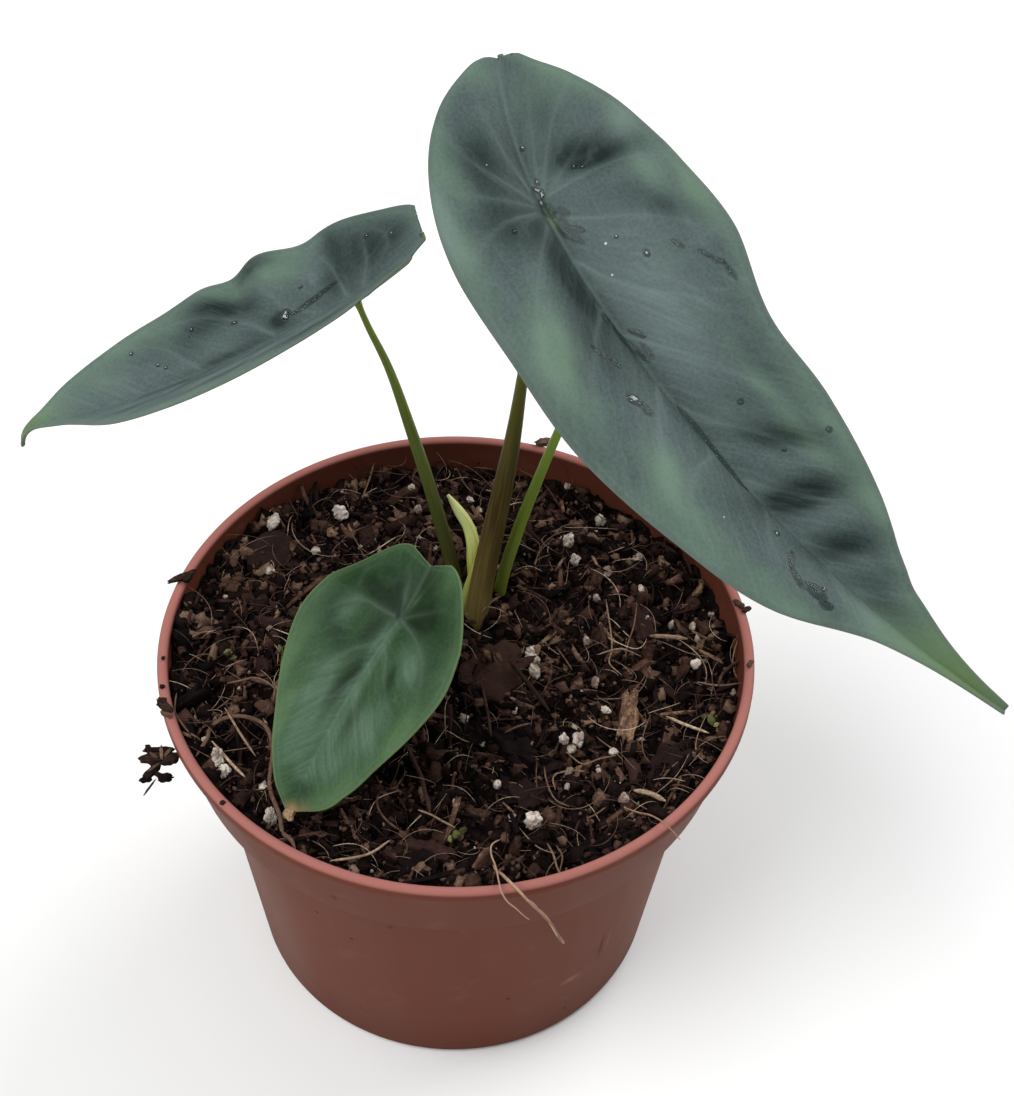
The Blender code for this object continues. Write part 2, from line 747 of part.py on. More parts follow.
def midrib(leaf):
    """The midrib as a fine polyline from the rear end to the tip, with its directions."""
    pieces = []
    for end in (-leaf["rear"], leaf["front"]):
        u = np.linspace(0.0, end, 120)
        along, left, up = midrib_directions(leaf, u)
        steps = 0.5 * (along[1:] + along[:-1]) * np.diff(u)[:, None]
        place = np.vstack([np.zeros(3), np.cumsum(steps, 0)]) + np.array(leaf["joint"])
        pieces.append((u, place, left, up))
    return tuple(
        np.concatenate([rear[::-1], front[1:]]) for rear, front in zip(pieces[0], pieces[1]))


def waves(leaf, u, v, half):
    """Height of the hollows, ridges and the quilting between the side veins."""
    side = np.where(v < 0, -1, 1)
    across = np.abs(v)
    spacing, depth, slant = leaf["quilt"]
    share = np.clip(across / half, 0.0, 1.0)
    height = depth * np.sin(math.pi * share) * np.sin(2 * math.pi * (u - slant * across) / spacing)
    for wave_side, u0, reach_u, v0, reach_v, rise, lean in leaf["waves"]:
        bump = np.exp(-(((u - u0 - lean * across) / reach_u) ** 2) - ((across - v0) / reach_v) ** 2)
        height = height + rise * bump * np.where(wave_side * side >= 0, 1.0, 0.0)
    near = np.clip(across / 2.0, 0.0, 1.0)
    return height * near * near * (3 - 2 * near)


def leaf_points(leaf, share, q):
    """Places on the upper face: share of the length from the rear end, q from -1 to 1 across."""
    table = np.array(leaf["stations"])
    root = np.sqrt(table[:, 0])
    half_left = spline(np.sqrt(share), root, table[:, 1])
    half_right = spline(np.sqrt(share), root, table[:, 2])
    half = np.where(q > 0, half_left, half_right)
    v = q * half
    u = (leaf["rear"] + leaf["front"]) * share - leaf["rear"]
    u = u + leaf["notch"] * (1 - np.abs(q)) * np.clip(1 - share / NOTCH_REACH, 0, 1) ** 2
    u = u + leaf["lobe_skew"] * q * np.clip(1 - share / SKEW_REACH, 0, 1) ** 2
    fine_u, place, left, up = midrib(leaf)

    def at(values):
        return np.stack([np.interp(u, fine_u, values[:, k]) for k in range(3)], 1)

    side = np.where(v < 0, -1.0, 1.0)
    ahead = np.clip(u / leaf["front"], 0.0, 1.0)
    fold = np.where(v > 0, leaf["fold_left"], leaf["fold_right"]) + leaf["fold_tip"] * ahead ** 2
    fold = np.radians(fold)
    bend = np.radians(np.where(v > 0, leaf["curl_left"], leaf["curl_right"])) / half
    out = (np.sin(fold + bend * np.abs(v)) - np.sin(fold)) / bend
    rise = (np.cos(fold) - np.cos(fold + bend * np.abs(v))) / bend
    rise = rise + waves(leaf, u, v, half)
    return at(place) + at(left) * (side * out)[:, None] + at(up) * rise[:, None], u, v


def make_blade(name, leaf, rows, columns, group, material):
    """Leaf blade: a grid bent to the leaf's form, with the midrib standing out below."""
    shape = bmesh.new()
    bmesh.ops.create_grid(shape, x_segments=rows, y_segments=columns, size=1.0)
    shape.verts.ensure_lookup_table()
    flat = np.array([vert.co[:] for vert in shape.verts])
    share = ((flat[:, 0] + 1) / 2) ** 1.35
    q = flat[:, 1] * (0.55 + 0.45 * np.abs(flat[:, 1]))
    place, u, v = leaf_points(leaf, share, q)
    for vert, point in zip(shape.verts, place):
        vert.co = Vector(point) * MM
    bmesh.ops.triangulate(shape, faces=shape.faces)
    mesh = bpy.data.meshes.new(name)
    shape.normal_update()
    if sum(face.normal.z for face in shape.faces) < 0:
        bmesh.ops.reverse_faces(shape, faces=shape.faces)
    shape.to_mesh(mesh)
    shape.free()
    blade = add_object(name, mesh, group, material)
    rib = blade.vertex_groups.new(name="rib")
    taper = np.clip(1.0 - u / leaf["front"], 0.15, 1.0) * np.clip(1 + u / leaf["rear"], 0.1, 1.0)
    profile = np.exp(-((v * MM / RIB_HALF_WIDTH) ** 2)) * taper
    depth = BLADE_THICKNESS + RIB_DEPTH * profile
    full = BLADE_THICKNESS + RIB_DEPTH
    for index, value in enumerate(depth / full):
        rib.add([index], float(value), "REPLACE")
    wall = blade.modifiers.new("Wall", "SOLIDIFY")
    wall.thickness = full
    wall.offset = -1.0
    wall.vertex_group = "rib"
    return blade


def in_metres(points):
    """The same points with every value in metres."""
    return [tuple(value * MM for value in point) for point in points]


def stalk_path(leaf, points, top_radius):
    """Stalk points in metres, ended just under the blade and square to it."""
    _, _, up = midrib_directions(leaf, np.array([0.0]))
    joint = Vector(leaf["joint"]) * MM
    normal = Vector(up[0])
    seat = joint - normal * (BLADE_THICKNESS + RIB_DEPTH + GAP)
    path = in_metres(points)
    path.append((*(seat - normal * STALK_TOP_RUN), 0.5 * (path[-1][3] + top_radius)))
    path.append((*seat, top_radius))
    return path


def make_stalk(name, leaf, points, top_radius, group, cutters, material):
    """Stalk of one leaf, and the plain hole for it in the soil."""
    path = smooth_path(stalk_path(leaf, points, top_radius), STALK_STEPS)
    stalk = tube(name, path, group, material)
    hole_cutter(name, path, cutters)
    return stalk


def hole_cutter(name, path, cutters):
    """A tube wider by the gap round the lower part of a stalk."""
    x, y, z, radius = path[0]
    low = [(x, y, z - 1 * MM, radius + GAP)]
    low += [(px, py, pz, r + GAP) for px, py, pz, r in path if pz < SOIL_LEVEL + 14 * MM]
    as_cutter(tube(name + "_hole", low, cutters))


def make_shoot(group, cutters, material):
    """Rolled young leaf with a fine point."""
    path = smooth_path(in_metres(SHOOT), SHOOT_STEPS)
    shoot = tube("shoot", path, group, material)
    hole_cutter("shoot", path, cutters)
    return shoot


# Scraps on the rim

def make_scrap(group, material):
    """Splinters of bark grown into one scrap, clinging to the collar."""
    parts = new_collection("scrap_parts")
    scrap = None
    for i, (x, y, z, length, width, height, turn) in enumerate(SPLINTERS):
        shape = bmesh.new()
        bmesh.ops.create_cube(shape, size=1.0)
        bmesh.ops.scale(shape, verts=shape.verts, vec=(length * MM, width * MM, height * MM))
        turned_by = Matrix.Rotation(math.radians(turn), 4, "Z")
        bmesh.ops.transform(shape, verts=shape.verts, matrix=turned_by)
        bmesh.ops.translate(shape, verts=shape.verts, vec=(x * MM, y * MM, z * MM))
        mesh = bpy.data.meshes.new(f"splinter_{i + 1}")
        shape.to_mesh(mesh)
        shape.free()
        if scrap is None:
            scrap = add_object("bark_scrap", mesh, group, material)
        else:
            add_object(f"splinter_{i + 1}", mesh, parts)
    join = boolean(scrap, "UNION", parts)
    joined = evaluated_mesh(scrap)
    scrap.modifiers.remove(join)
    scrap.data = joined
    remove_collection(parts)
    return scrap


def make_rim_fibre(group, material):
    """Thin fibre that lies on the soil's edge and hangs over the lip."""
    path = smooth_path(in_metres(RIM_FIBRE), 18)
    return tube("rim_fibre", path, group, material, resolution=1)


def main():
    """Build the potted plant."""
    for obj in list(bpy.data.objects):
        bpy.data.objects.remove(obj)
    group = new_collection("potted_alocasia")
    pot_cutters = new_collection("pot_cutters")
    soil_cutters = new_collection("soil_cutters")
    terracotta = new_material("terracotta_plastic", (0.171, 0.063, 0.045), 0.45)
    earth = new_material("bark_soil", (0.022, 0.012, 0.010), 0.95)
    bark = new_material("bark", (0.050, 0.026, 0.018), 0.9)
    root = new_material("root_skin", (0.42, 0.30, 0.19), 0.8)
    slate = new_material("slate_green_leaf", (0.060, 0.098, 0.086), 0.4)
    green = new_material("green_leaf", (0.045, 0.120, 0.050), 0.45)
    coir = new_material("coir", (0.46, 0.27, 0.15), 0.85)
    stalk = new_material("stalk_green", (0.090, 0.125, 0.025), 0.45)
    young = new_material("young_green", (0.33, 0.42, 0.11), 0.45)
    make_pot(group, pot_cutters, terracotta)
    make_crown(group, root)
    crown_cutters(soil_cutters)
    leaves = (
        ("big", BIG_LEAF, BIG_STALK, (34, 16), slate),
        ("left", LEFT_LEAF, LEFT_STALK, (28, 14), slate),
        ("small", SMALL_LEAF, SMALL_STALK, (20, 12), green),
        ("back", BACK_LEAF, BACK_STALK, (18, 10), green),
    )
    for name, leaf, points, grid, finish in leaves:
        make_blade("blade_" + name, leaf, *grid, group, finish)
        top_radius = STALK_TOP_RADII[name]
        make_stalk("stalk_" + name, leaf, points, top_radius, group, soil_cutters, stalk)
    make_shoot(group, soil_cutters, young)
    make_soil(group, soil_cutters, earth)
    make_scrap(group, bark)
    make_rim_fibre(group, coir)


main()
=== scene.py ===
# Looks of a young aroid with long shield-shaped leaves, in bark soil and a terracotta-coloured
# plastic nursery pot. Metres, +Z up, the same frame as the solids.

import json
import math
from functools import partial

import bmesh
import bpy
import numpy as np
from bpy.props import FloatProperty, FloatVectorProperty, IntProperty, PointerProperty
from mathutils import Euler, Matrix, Vector, noise

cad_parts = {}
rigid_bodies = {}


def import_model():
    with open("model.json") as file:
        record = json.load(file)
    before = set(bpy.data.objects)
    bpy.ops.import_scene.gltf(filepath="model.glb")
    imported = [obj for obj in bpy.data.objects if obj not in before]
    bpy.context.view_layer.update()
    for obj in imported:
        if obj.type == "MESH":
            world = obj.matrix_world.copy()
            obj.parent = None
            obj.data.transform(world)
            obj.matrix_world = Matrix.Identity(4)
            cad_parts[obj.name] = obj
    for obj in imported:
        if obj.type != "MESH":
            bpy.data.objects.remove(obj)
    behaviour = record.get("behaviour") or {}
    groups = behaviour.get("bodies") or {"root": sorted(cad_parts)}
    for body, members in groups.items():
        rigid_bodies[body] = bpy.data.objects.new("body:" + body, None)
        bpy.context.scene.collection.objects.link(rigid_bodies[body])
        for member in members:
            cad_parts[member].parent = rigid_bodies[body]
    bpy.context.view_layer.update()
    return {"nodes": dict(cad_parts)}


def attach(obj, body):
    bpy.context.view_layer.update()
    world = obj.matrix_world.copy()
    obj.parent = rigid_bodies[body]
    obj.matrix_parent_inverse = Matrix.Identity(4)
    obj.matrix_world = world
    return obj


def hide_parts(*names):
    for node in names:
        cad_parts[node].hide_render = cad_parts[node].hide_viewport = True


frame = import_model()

bl_info = {
    "name": "Potted alocasia",
    "version": (1, 0, 0),
    "blender": (4, 5, 0),
    "location": "3D Viewport > Sidebar > Alocasia",
    "description": "Dresses the solids of a potted young aroid with leaves, soil and pot",
    "category": "Object",
}

MM = 0.001
GAP = 0.3 * MM

# Photograph: size, focal length in pixels, and the camera's place and axes
PHOTO_WIDTH = 1014
PHOTO_HEIGHT = 1096
FOCAL_PIXELS = 1792.0
SENSOR_MM = 36.0
CAMERA_PLACE = (0.0, -0.23372, 0.36457)
CAMERA_RIGHT = (0.9995609, -0.0095980, 0.0280339)
CAMERA_DOWN = (0.0121472, -0.7302082, -0.6831167)
CAMERA_AHEAD = (0.0270272, 0.6831573, -0.7297710)

# Stage
FLOOR_SIZE = 6.0
KEY_PLACE = (-0.70, -0.35, 1.25)
KEY_SIZE = 1.1
FILL_PLACE = (0.9, 0.7, 1.1)
FILL_SIZE = 1.2
LIGHT_AIM = (0.0, 0.0, 0.1)

# Pot, as in the solids
POT_HEIGHT = 88 * MM
RIM_RADIUS = 60 * MM
LIP_WIDTH = 2.2 * MM
LIP_HEIGHT = 2.4 * MM
COLLAR_HEIGHT = 19 * MM
COLLAR_FOOT_RADIUS = 56 * MM
BODY_TOP_RADIUS = 51.5 * MM
BASE_RADIUS = 45 * MM
POT_WALL = 1.4 * MM
POT_FLOOR = 2.8 * MM
BASE_FILLET = 2.0 * MM
FOOT_RING_INNER_RADIUS = 37 * MM
BASE_DISC_RADIUS = 14 * MM
BASE_RECESS = 1.2 * MM
DRAIN_COUNT = 8
DRAIN_RADIUS = 4 * MM
DRAIN_CIRCLE_RADIUS = 26 * MM
DRAIN_SIDES = 32
SHARP_ANGLE = math.radians(50)

# Soil, as in the solids
SOIL_LEVEL = 82 * MM
SOIL_SLOPE_X = -0.025
SOIL_SLOPE_Y = -0.02
SOIL_MOUND_HEIGHT = 1.6 * MM
SOIL_MOUND_RADIUS = 22 * MM
SOIL_LUMP_HEIGHT = 2.2 * MM
SOIL_LUMP_SIZE = 9 * MM
CROWN_X = 4 * MM
CROWN_Y = 14 * MM
CROWN_RADIUS = 10 * MM

# Soil detail
GROUND_RINGS = 120
GROUND_STEPS = 420
GROUND_SINK = 1.2 * MM
CLOD_SIZE = 5.2 * MM
CLOD_WARP_SIZE = 3 * MM
CLOD_HEIGHT = 2.6 * MM
LUMP_SIZE = 2.4 * MM
GRIT_SIZE = 1.1 * MM
BANK_HEIGHT = 3.4 * MM
BANK_WIDTH = 5.0 * MM
SOIL_EXTRAS_RADIUS = 57.3 * MM

# How far strewn things stay from the wall and from the stalks: crumbs, then longer pieces
CRUMB_WALL_GAP, CRUMB_STALK_GAP = 0.6 * MM, 0.8 * MM
LONG_WALL_GAP, LONG_STALK_GAP = 2 * MM, 3.2 * MM
VARIANT_COUNT = 12

# Bark slabs: x, y, length, width and rise in millimetres, the turn in degrees, and the tone
# from 0, nearly black, to 1, light
SLABS = (
    (-39.5, 28.5, 12.0, 8.5, 1.2, 12.0, 0.42),
    (8.0, -4.3, 13.0, 10.5, 1.0, 62.0, 0.62),
    (11.6, -22.7, 11.5, 5.0, 1.3, -36.0, 0.12),
    (2.2, -18.5, 8.0, 4.2, 0.9, -29.0, 0.16),
    (-5.2, -47.0, 9.5, 3.6, 1.4, -15.0, 0.58),
    (-6.8, -51.0, 6.5, 5.5, 0.6, 4.0, 0.10),
    (14.0, -34.0, 6.8, 6.2, 1.2, 20.0, 0.35),
    (34.0, -15.0, 13.0, 3.6, 1.5, 80.0, 0.95),
    (38.5, 10.5, 9.0, 4.2, 1.3, 98.0, 0.50),
    (41.0, -27.0, 9.0, 6.0, 0.8, 62.0, 0.30),
)
SLAB_THICKNESS = 3.4 * MM
SLAB_CUTS = 14
SPLINTER_CUTS = 7

# Grains of perlite that can be told apart: x, y and radius in millimetres. Those above the
# fine radius have more faces, and those above the clean one the clean tone.
FINE_RADIUS = 0.9
CLEAN_RADIUS = 1.12
CLEAN_TONE = 0.1
GRAINS = (
    (15.6, -3.2, 1.3), (15.4, -0.9, 1.5), (15.2, 1.5, 1.25), (14.6, -40.6, 1.85),
    (48.6, -1.4, 0.9), (48.9, 9.0, 0.7), (49.6, 5.1, 0.7), (53.6, 10.0, 0.6),
    (53.4, 13.9, 0.6), (56.0, -7.8, 0.8), (54.6, -12.2, 0.7), (46.7, -23.8, 0.8),
    (32.3, -35.0, 0.95), (10.5, -40.7, 0.75), (21.1, -21.6, 1.0), (23.9, -20.6, 1.1),
    (22.6, -23.4, 0.8), (29.8, -13.3, 0.8), (30.8, -23.6, 0.8), (7.9, -32.2, 0.9),
    (21.9, -28.0, 0.8), (21.3, -33.2, 0.6), (0.1, -37.8, 0.75), (26.7, 4.9, 0.7),
    (27.9, -6.6, 1.0), (-40.2, 36.2, 1.3), (-45.6, -28.0, 1.5), (-44.2, -30.6, 1.2),
    (-34.6, -41.0, 1.5), (-36.2, -33.9, 1.1), (1.4, -16.0, 1.1), (31.2, 41.1, 1.2),
    (38.8, 28.6, 1.0), (24.2, 50.3, 0.8), (31.7, 24.4, 1.1), (25.2, 28.6, 1.2),
    (23.8, 33.1, 1.1), (-4.9, 44.6, 1.1), (-10.6, 48.8, 0.8), (-9.0, 41.6, 0.9),
    (-30.5, 27.6, 0.9), (-39.8, 21.9, 1.0), (-26.1, 40.2, 1.3), (2.4, 44.6, 0.8),
    (-48.6, -24.0, 0.8),
)

# Crumbs with a film of green algae: x, y and radius in millimetres
GREEN_CRUMBS = (
    (50.5, -15.8, 0.9), (49.3, -15.0, 0.6), (51.6, -16.6, 0.6), (0.2, -44.3, 0.9),
    (1.4, -43.6, 0.6), (-0.9, -45.0, 0.5), (-35.9, 0.0, 0.7), (-46.3, -0.9, 0.8),
    (-45.2, -1.8, 0.6),
)

# Leaf blades
BLADE_THICKNESS = 0.75 * MM
EDGE_THICKNESS = 0.42 * MM
RIB_DEPTH = 0.9 * MM
RIB_HALF_WIDTH = 1.3 * MM

# Relief of a blade, in millimetres: how far in from the margin it has its full thickness; the
# midrib's groove above; the fine line and the soft hollow of a side vein; its rib below
EDGE_REACH = 2.2
GROOVE_DEPTH, GROOVE_WIDTH = 0.42, 0.75
LINE_DEPTH, LINE_WIDTH = 0.16, 0.55
HOLLOW_DEPTH, HOLLOW_WIDTH = 0.22, 1.9
SIDE_RIB_DEPTH, SIDE_RIB_WIDTH = 0.22, 0.6

# Colour on a blade, in millimetres: widths of a side vein's fine line, of its soft edge, of the
# midrib's line and of the rim; then how far in from the margin the vein along it and the green
# band lie, and their widths
FINE_LINE, SOFT_LINE, MIDRIB_LINE, RIM_LINE = 0.42, 1.0, 0.55, 0.35
EDGE_VEIN_INSET, EDGE_VEIN_WIDTH = 1.1, 0.32
GREEN_BAND_INSET, GREEN_BAND_WIDTH = 1.0, 2.0

# How finely a search, a side vein and a midrib are worked out
SEARCH_STEPS = 34
VEIN_POINTS = 22
MIDRIB_POINTS = 120

# Each leaf is laid out flat and then bent. u runs along the midrib from the point where the
# stalk joins it, v across it, both in millimetres, and left is on the left of somebody who
# walks from the stalk to the tip. front and rear are the leaf's lengths from the joint. Angles
# are in degrees: heading, pitch and roll at the joint, then their change up to the tip and back
# to the rear end; how far the last tenth droops; the fold of the left half, the right half, and
# what the tip adds to it; the curl of the left and the right half. notch and lobe_skew draw the
# rear end in and aslant.
# stations: share of the length from the rear end, left half width, right half width.
# quilt: spacing, height and slant of the swells between the side veins.
# waves: side (1 left, -1 right, 0 both), u, reach along u, v, reach along v, height, slant.
BIG_LEAF = {
    "joint": (14.5, 20.2, 178.0),
    "front": 117.5,
    "rear": 32.6,
    "heading": (-61.0, 41.0, -24.0),
    "pitch": (-23.5, -5.0, 0.5),
    "tip_droop": 0.0,
    "roll": (9.0, 4.5, -5.0),
    "fold": (26.5, 26.0, 18.5),
    "curl": (-4.0, -47.0),
    "notch": -0.8,
    "lobe_skew": 0.0,
    "stations": (
        (0.00, 2.5, 2.5), (0.02, 6.8, 7.0), (0.06, 13.0, 12.0), (0.13, 19.5, 16.8),
        (0.24, 24.0, 20.3), (0.36, 25.8, 20.2), (0.48, 21.3, 20.8), (0.60, 19.9, 18.5),
        (0.72, 14.8, 14.8), (0.83, 6.6, 5.4), (0.92, 2.6, 1.9), (1.00, 0.8, 0.8),
    ),
    "quilt": (12.0, 0.08, 0.95),
    "waves": (
        (1, -6.5, 3.5, 11.5, 6.0, -1.8, 0.0), (1, -4.0, 4.0, 17.0, 7.0, 0.8, 0.3),
        (1, 3.0, 5.0, 21.0, 4.5, -0.9, 0.5), (1, 43.0, 8.0, 15.5, 3.0, -1.3, 0.0),
        (1, 49.0, 4.5, 9.5, 4.0, -1.6, 0.9), (1, 62.5, 3.5, 6.5, 4.5, -1.8, 0.7),
        (1, 75.0, 3.5, 4.5, 4.0, -1.6, 0.8), (1, 84.5, 3.5, 4.7, 3.0, -0.9, 0.8),
        (-1, -12.0, 4.5, 8.9, 4.0, -1.2, 0.0), (-1, 0.0, 4.0, 11.5, 4.0, -1.0, 0.0),
        (-1, 18.0, 10.0, 12.5, 4.0, 1.5, 0.2), (-1, 19.0, 8.0, 4.5, 3.0, -0.9, 0.2),
    ),
}
LEFT_LEAF = {
    "joint": (-20.4, 27.2, 154.0),
    "front": 74.8,
    "rear": 17.6,
    "heading": (192.5, -14.0, -15.0),
    "pitch": (-31.0, 14.5, -14.0),
    "tip_droop": -70.0,
    "roll": (5.5, -14.0, -6.5),
    "fold": (30.5, 29.5, 0.0),
    "curl": (-10.5, -10.0),
    "notch": 4.0,
    "lobe_skew": 2.8,
    "stations": (
        (0.00, 2.4, 1.8), (0.03, 8.8, 9.1), (0.09, 12.4, 12.5), (0.18, 16.0, 16.0),
        (0.30, 17.0, 18.2), (0.44, 17.0, 17.7), (0.58, 15.2, 14.7), (0.72, 11.3, 11.7),
        (0.86, 2.8, 6.2), (0.94, 0.8, 1.4), (1.00, 0.5, 0.5),
    ),
    "quilt": (8.0, 0.06, 0.95),
    "waves": (
        (-1, 7.0, 5.9, 15.0, 9.0, -2.8, 0.0), (-1, 22.5, 4.4, 15.0, 8.0, -2.7, 0.0),
    ),
}
SMALL_LEAF = {
    "joint": (-11.0, -14.9, 111.0),
    "front": 40.8,
    "rear": 13.5,
    "heading": (-129.0, 5.5, 6.5),
    "pitch": (-25.5, -18.0, -17.0),
    "tip_droop": 0.0,
    "roll": (1.5, -9.0, 22.0),
    "fold": (15.0, 14.0, 0.0),
    "curl": (-12.0, -13.5),
    "notch": 2.0,
    "lobe_skew": 0.0,
    "stations": (
        (0.00, 5.7, 5.9), (0.04, 10.2, 10.3), (0.12, 12.8, 13.3), (0.25, 15.8, 16.6),
        (0.40, 17.5, 17.4), (0.56, 15.8, 14.8), (0.72, 12.5, 10.9), (0.86, 9.2, 7.2),
        (0.95, 5.6, 3.8), (1.00, 0.8, 0.8),
    ),
    "quilt": (7.0, 0.06, 0.95),
    "waves": (
        (1, 1.0, 5.0, 8.5, 3.0, 0.5, 0.5), (-1, 3.0, 3.5, 4.0, 3.0, -0.4, 0.5),
        (-1, 14.0, 3.5, 5.0, 3.0, -0.4, 0.5),
    ),
}
BACK_LEAF = {
    "joint": (26.6, 29.5, 142.0),
    "front": 36.0,
    "rear": 10.0,
    "heading": (-22.0, 12.0, 0.0),
    "pitch": (-20.0, -16.0, 6.0),
    "tip_droop": -20.0,
    "roll": (0.0, 5.0, 0.0),
    "fold": (20.0, 20.0, 10.0),
    "curl": (-14.0, -14.0),
    "notch": 1.6,
    "lobe_skew": 0.0,
    "stations": (
        (0.00, 3.0, 3.0), (0.04, 6.8, 6.8), (0.12, 9.4, 9.4), (0.25, 11.6, 11.6),
        (0.40, 12.0, 12.0), (0.56, 10.6, 10.6), (0.72, 7.6, 7.6), (0.86, 3.6, 3.6),
        (0.95, 1.4, 1.4), (1.00, 0.6, 0.6),
    ),
    "quilt": (7.0, 0.08, 0.95),
    "waves": (),
}
DROOP_START = 0.9
NOTCH_REACH = 0.2
SKEW_REACH = 0.3

# Stalks: points from the crown upwards, each with the stalk's radius there, in millimetres.
# The top of each stalk is worked out from its blade.
BIG_STALK = (
    (3.8, 9.9, 74.4, 2.6), (3.8, 9.9, 82.0, 2.6), (4.9, 14.0, 89.0, 2.5), (6.4, 17.2, 97.0, 2.35),
    (8.5, 19.6, 110.0, 2.1), (10.3, 20.2, 124.5, 1.6), (11.6, 19.4, 141.0, 1.1),
    (12.9, 18.6, 158.0, 0.95),
)
LEFT_STALK = (
    (-0.1, 17.9, 74.4, 1.5), (-0.1, 17.9, 81.0, 1.5), (-0.9, 19.2, 86.0, 1.5),
    (-4.6, 22.7, 102.0, 1.4), (-9.7, 26.9, 120.0, 1.15), (-14.5, 28.8, 136.5, 0.8),
    (-17.6, 28.8, 145.0, 0.65),
)
BACK_STALK = (
    (8.7, 18.0, 74.4, 1.3), (8.7, 18.0, 81.0, 1.3), (12.4, 22.5, 97.0, 1.25),
    (15.4, 24.5, 107.0, 1.1), (18.9, 25.8, 119.0, 0.95), (22.4, 27.2, 130.0, 0.9),
)
SMALL_STALK = (
    (-0.6, 8.2, 74.4, 1.3), (-0.6, 8.2, 79.0, 1.3), (-3.6, 3.6, 89.0, 1.2),
    (-7.6, -4.4, 99.0, 1.0),
)
STALK_TOP_RADII = {"big": 0.85 * MM, "left": 0.6 * MM, "small": 0.8 * MM, "back": 0.8 * MM}
STALK_TOP_RUN = 2.5 * MM
STALK_FLARE = 0.35
STALK_FLARE_REACH = 1.6 * MM

# New shoot, a rolled leaf that has not opened: the same four values
SHOOT = (
    (3.3, 19.2, 74.4, 1.2), (3.3, 19.2, 84.0, 1.2), (3.2, 20.2, 89.5, 1.5), (3.1, 21.4, 92.8, 1.5),
    (2.2, 23.2, 96.0, 1.35), (-0.2, 24.7, 100.0, 1.1), (-2.3, 25.9, 103.0, 0.35),
)

# Edge of the big stalk's sheath: the same four values
SHEATH = (
    (1.1, 11.0, 82.0, 1.0), (1.3, 11.8, 85.0, 1.0), (2.0, 13.4, 88.0, 1.0),
    (3.0, 15.0, 91.0, 1.0), (4.2, 16.3, 94.0, 1.0), (5.2, 17.2, 96.5, 1.0),
)

# Coir fibre that hangs over the front of the rim, from its end on the soil:
# x, y, z and radius in millimetres
RIM_FIBRE = (
    (7.0, -51.6, 84.8, 0.40), (7.6, -53.6, 86.0, 0.42), (8.6, -56.0, 88.5, 0.45),
    (10.2, -58.6, 89.7, 0.45), (11.6, -60.0, 89.4, 0.42), (13.6, -60.9, 87.0, 0.40),
    (16.0, -61.0, 83.4, 0.42), (19.3, -60.4, 74.9, 0.50), (20.4, -60.0, 72.0, 0.62),
)

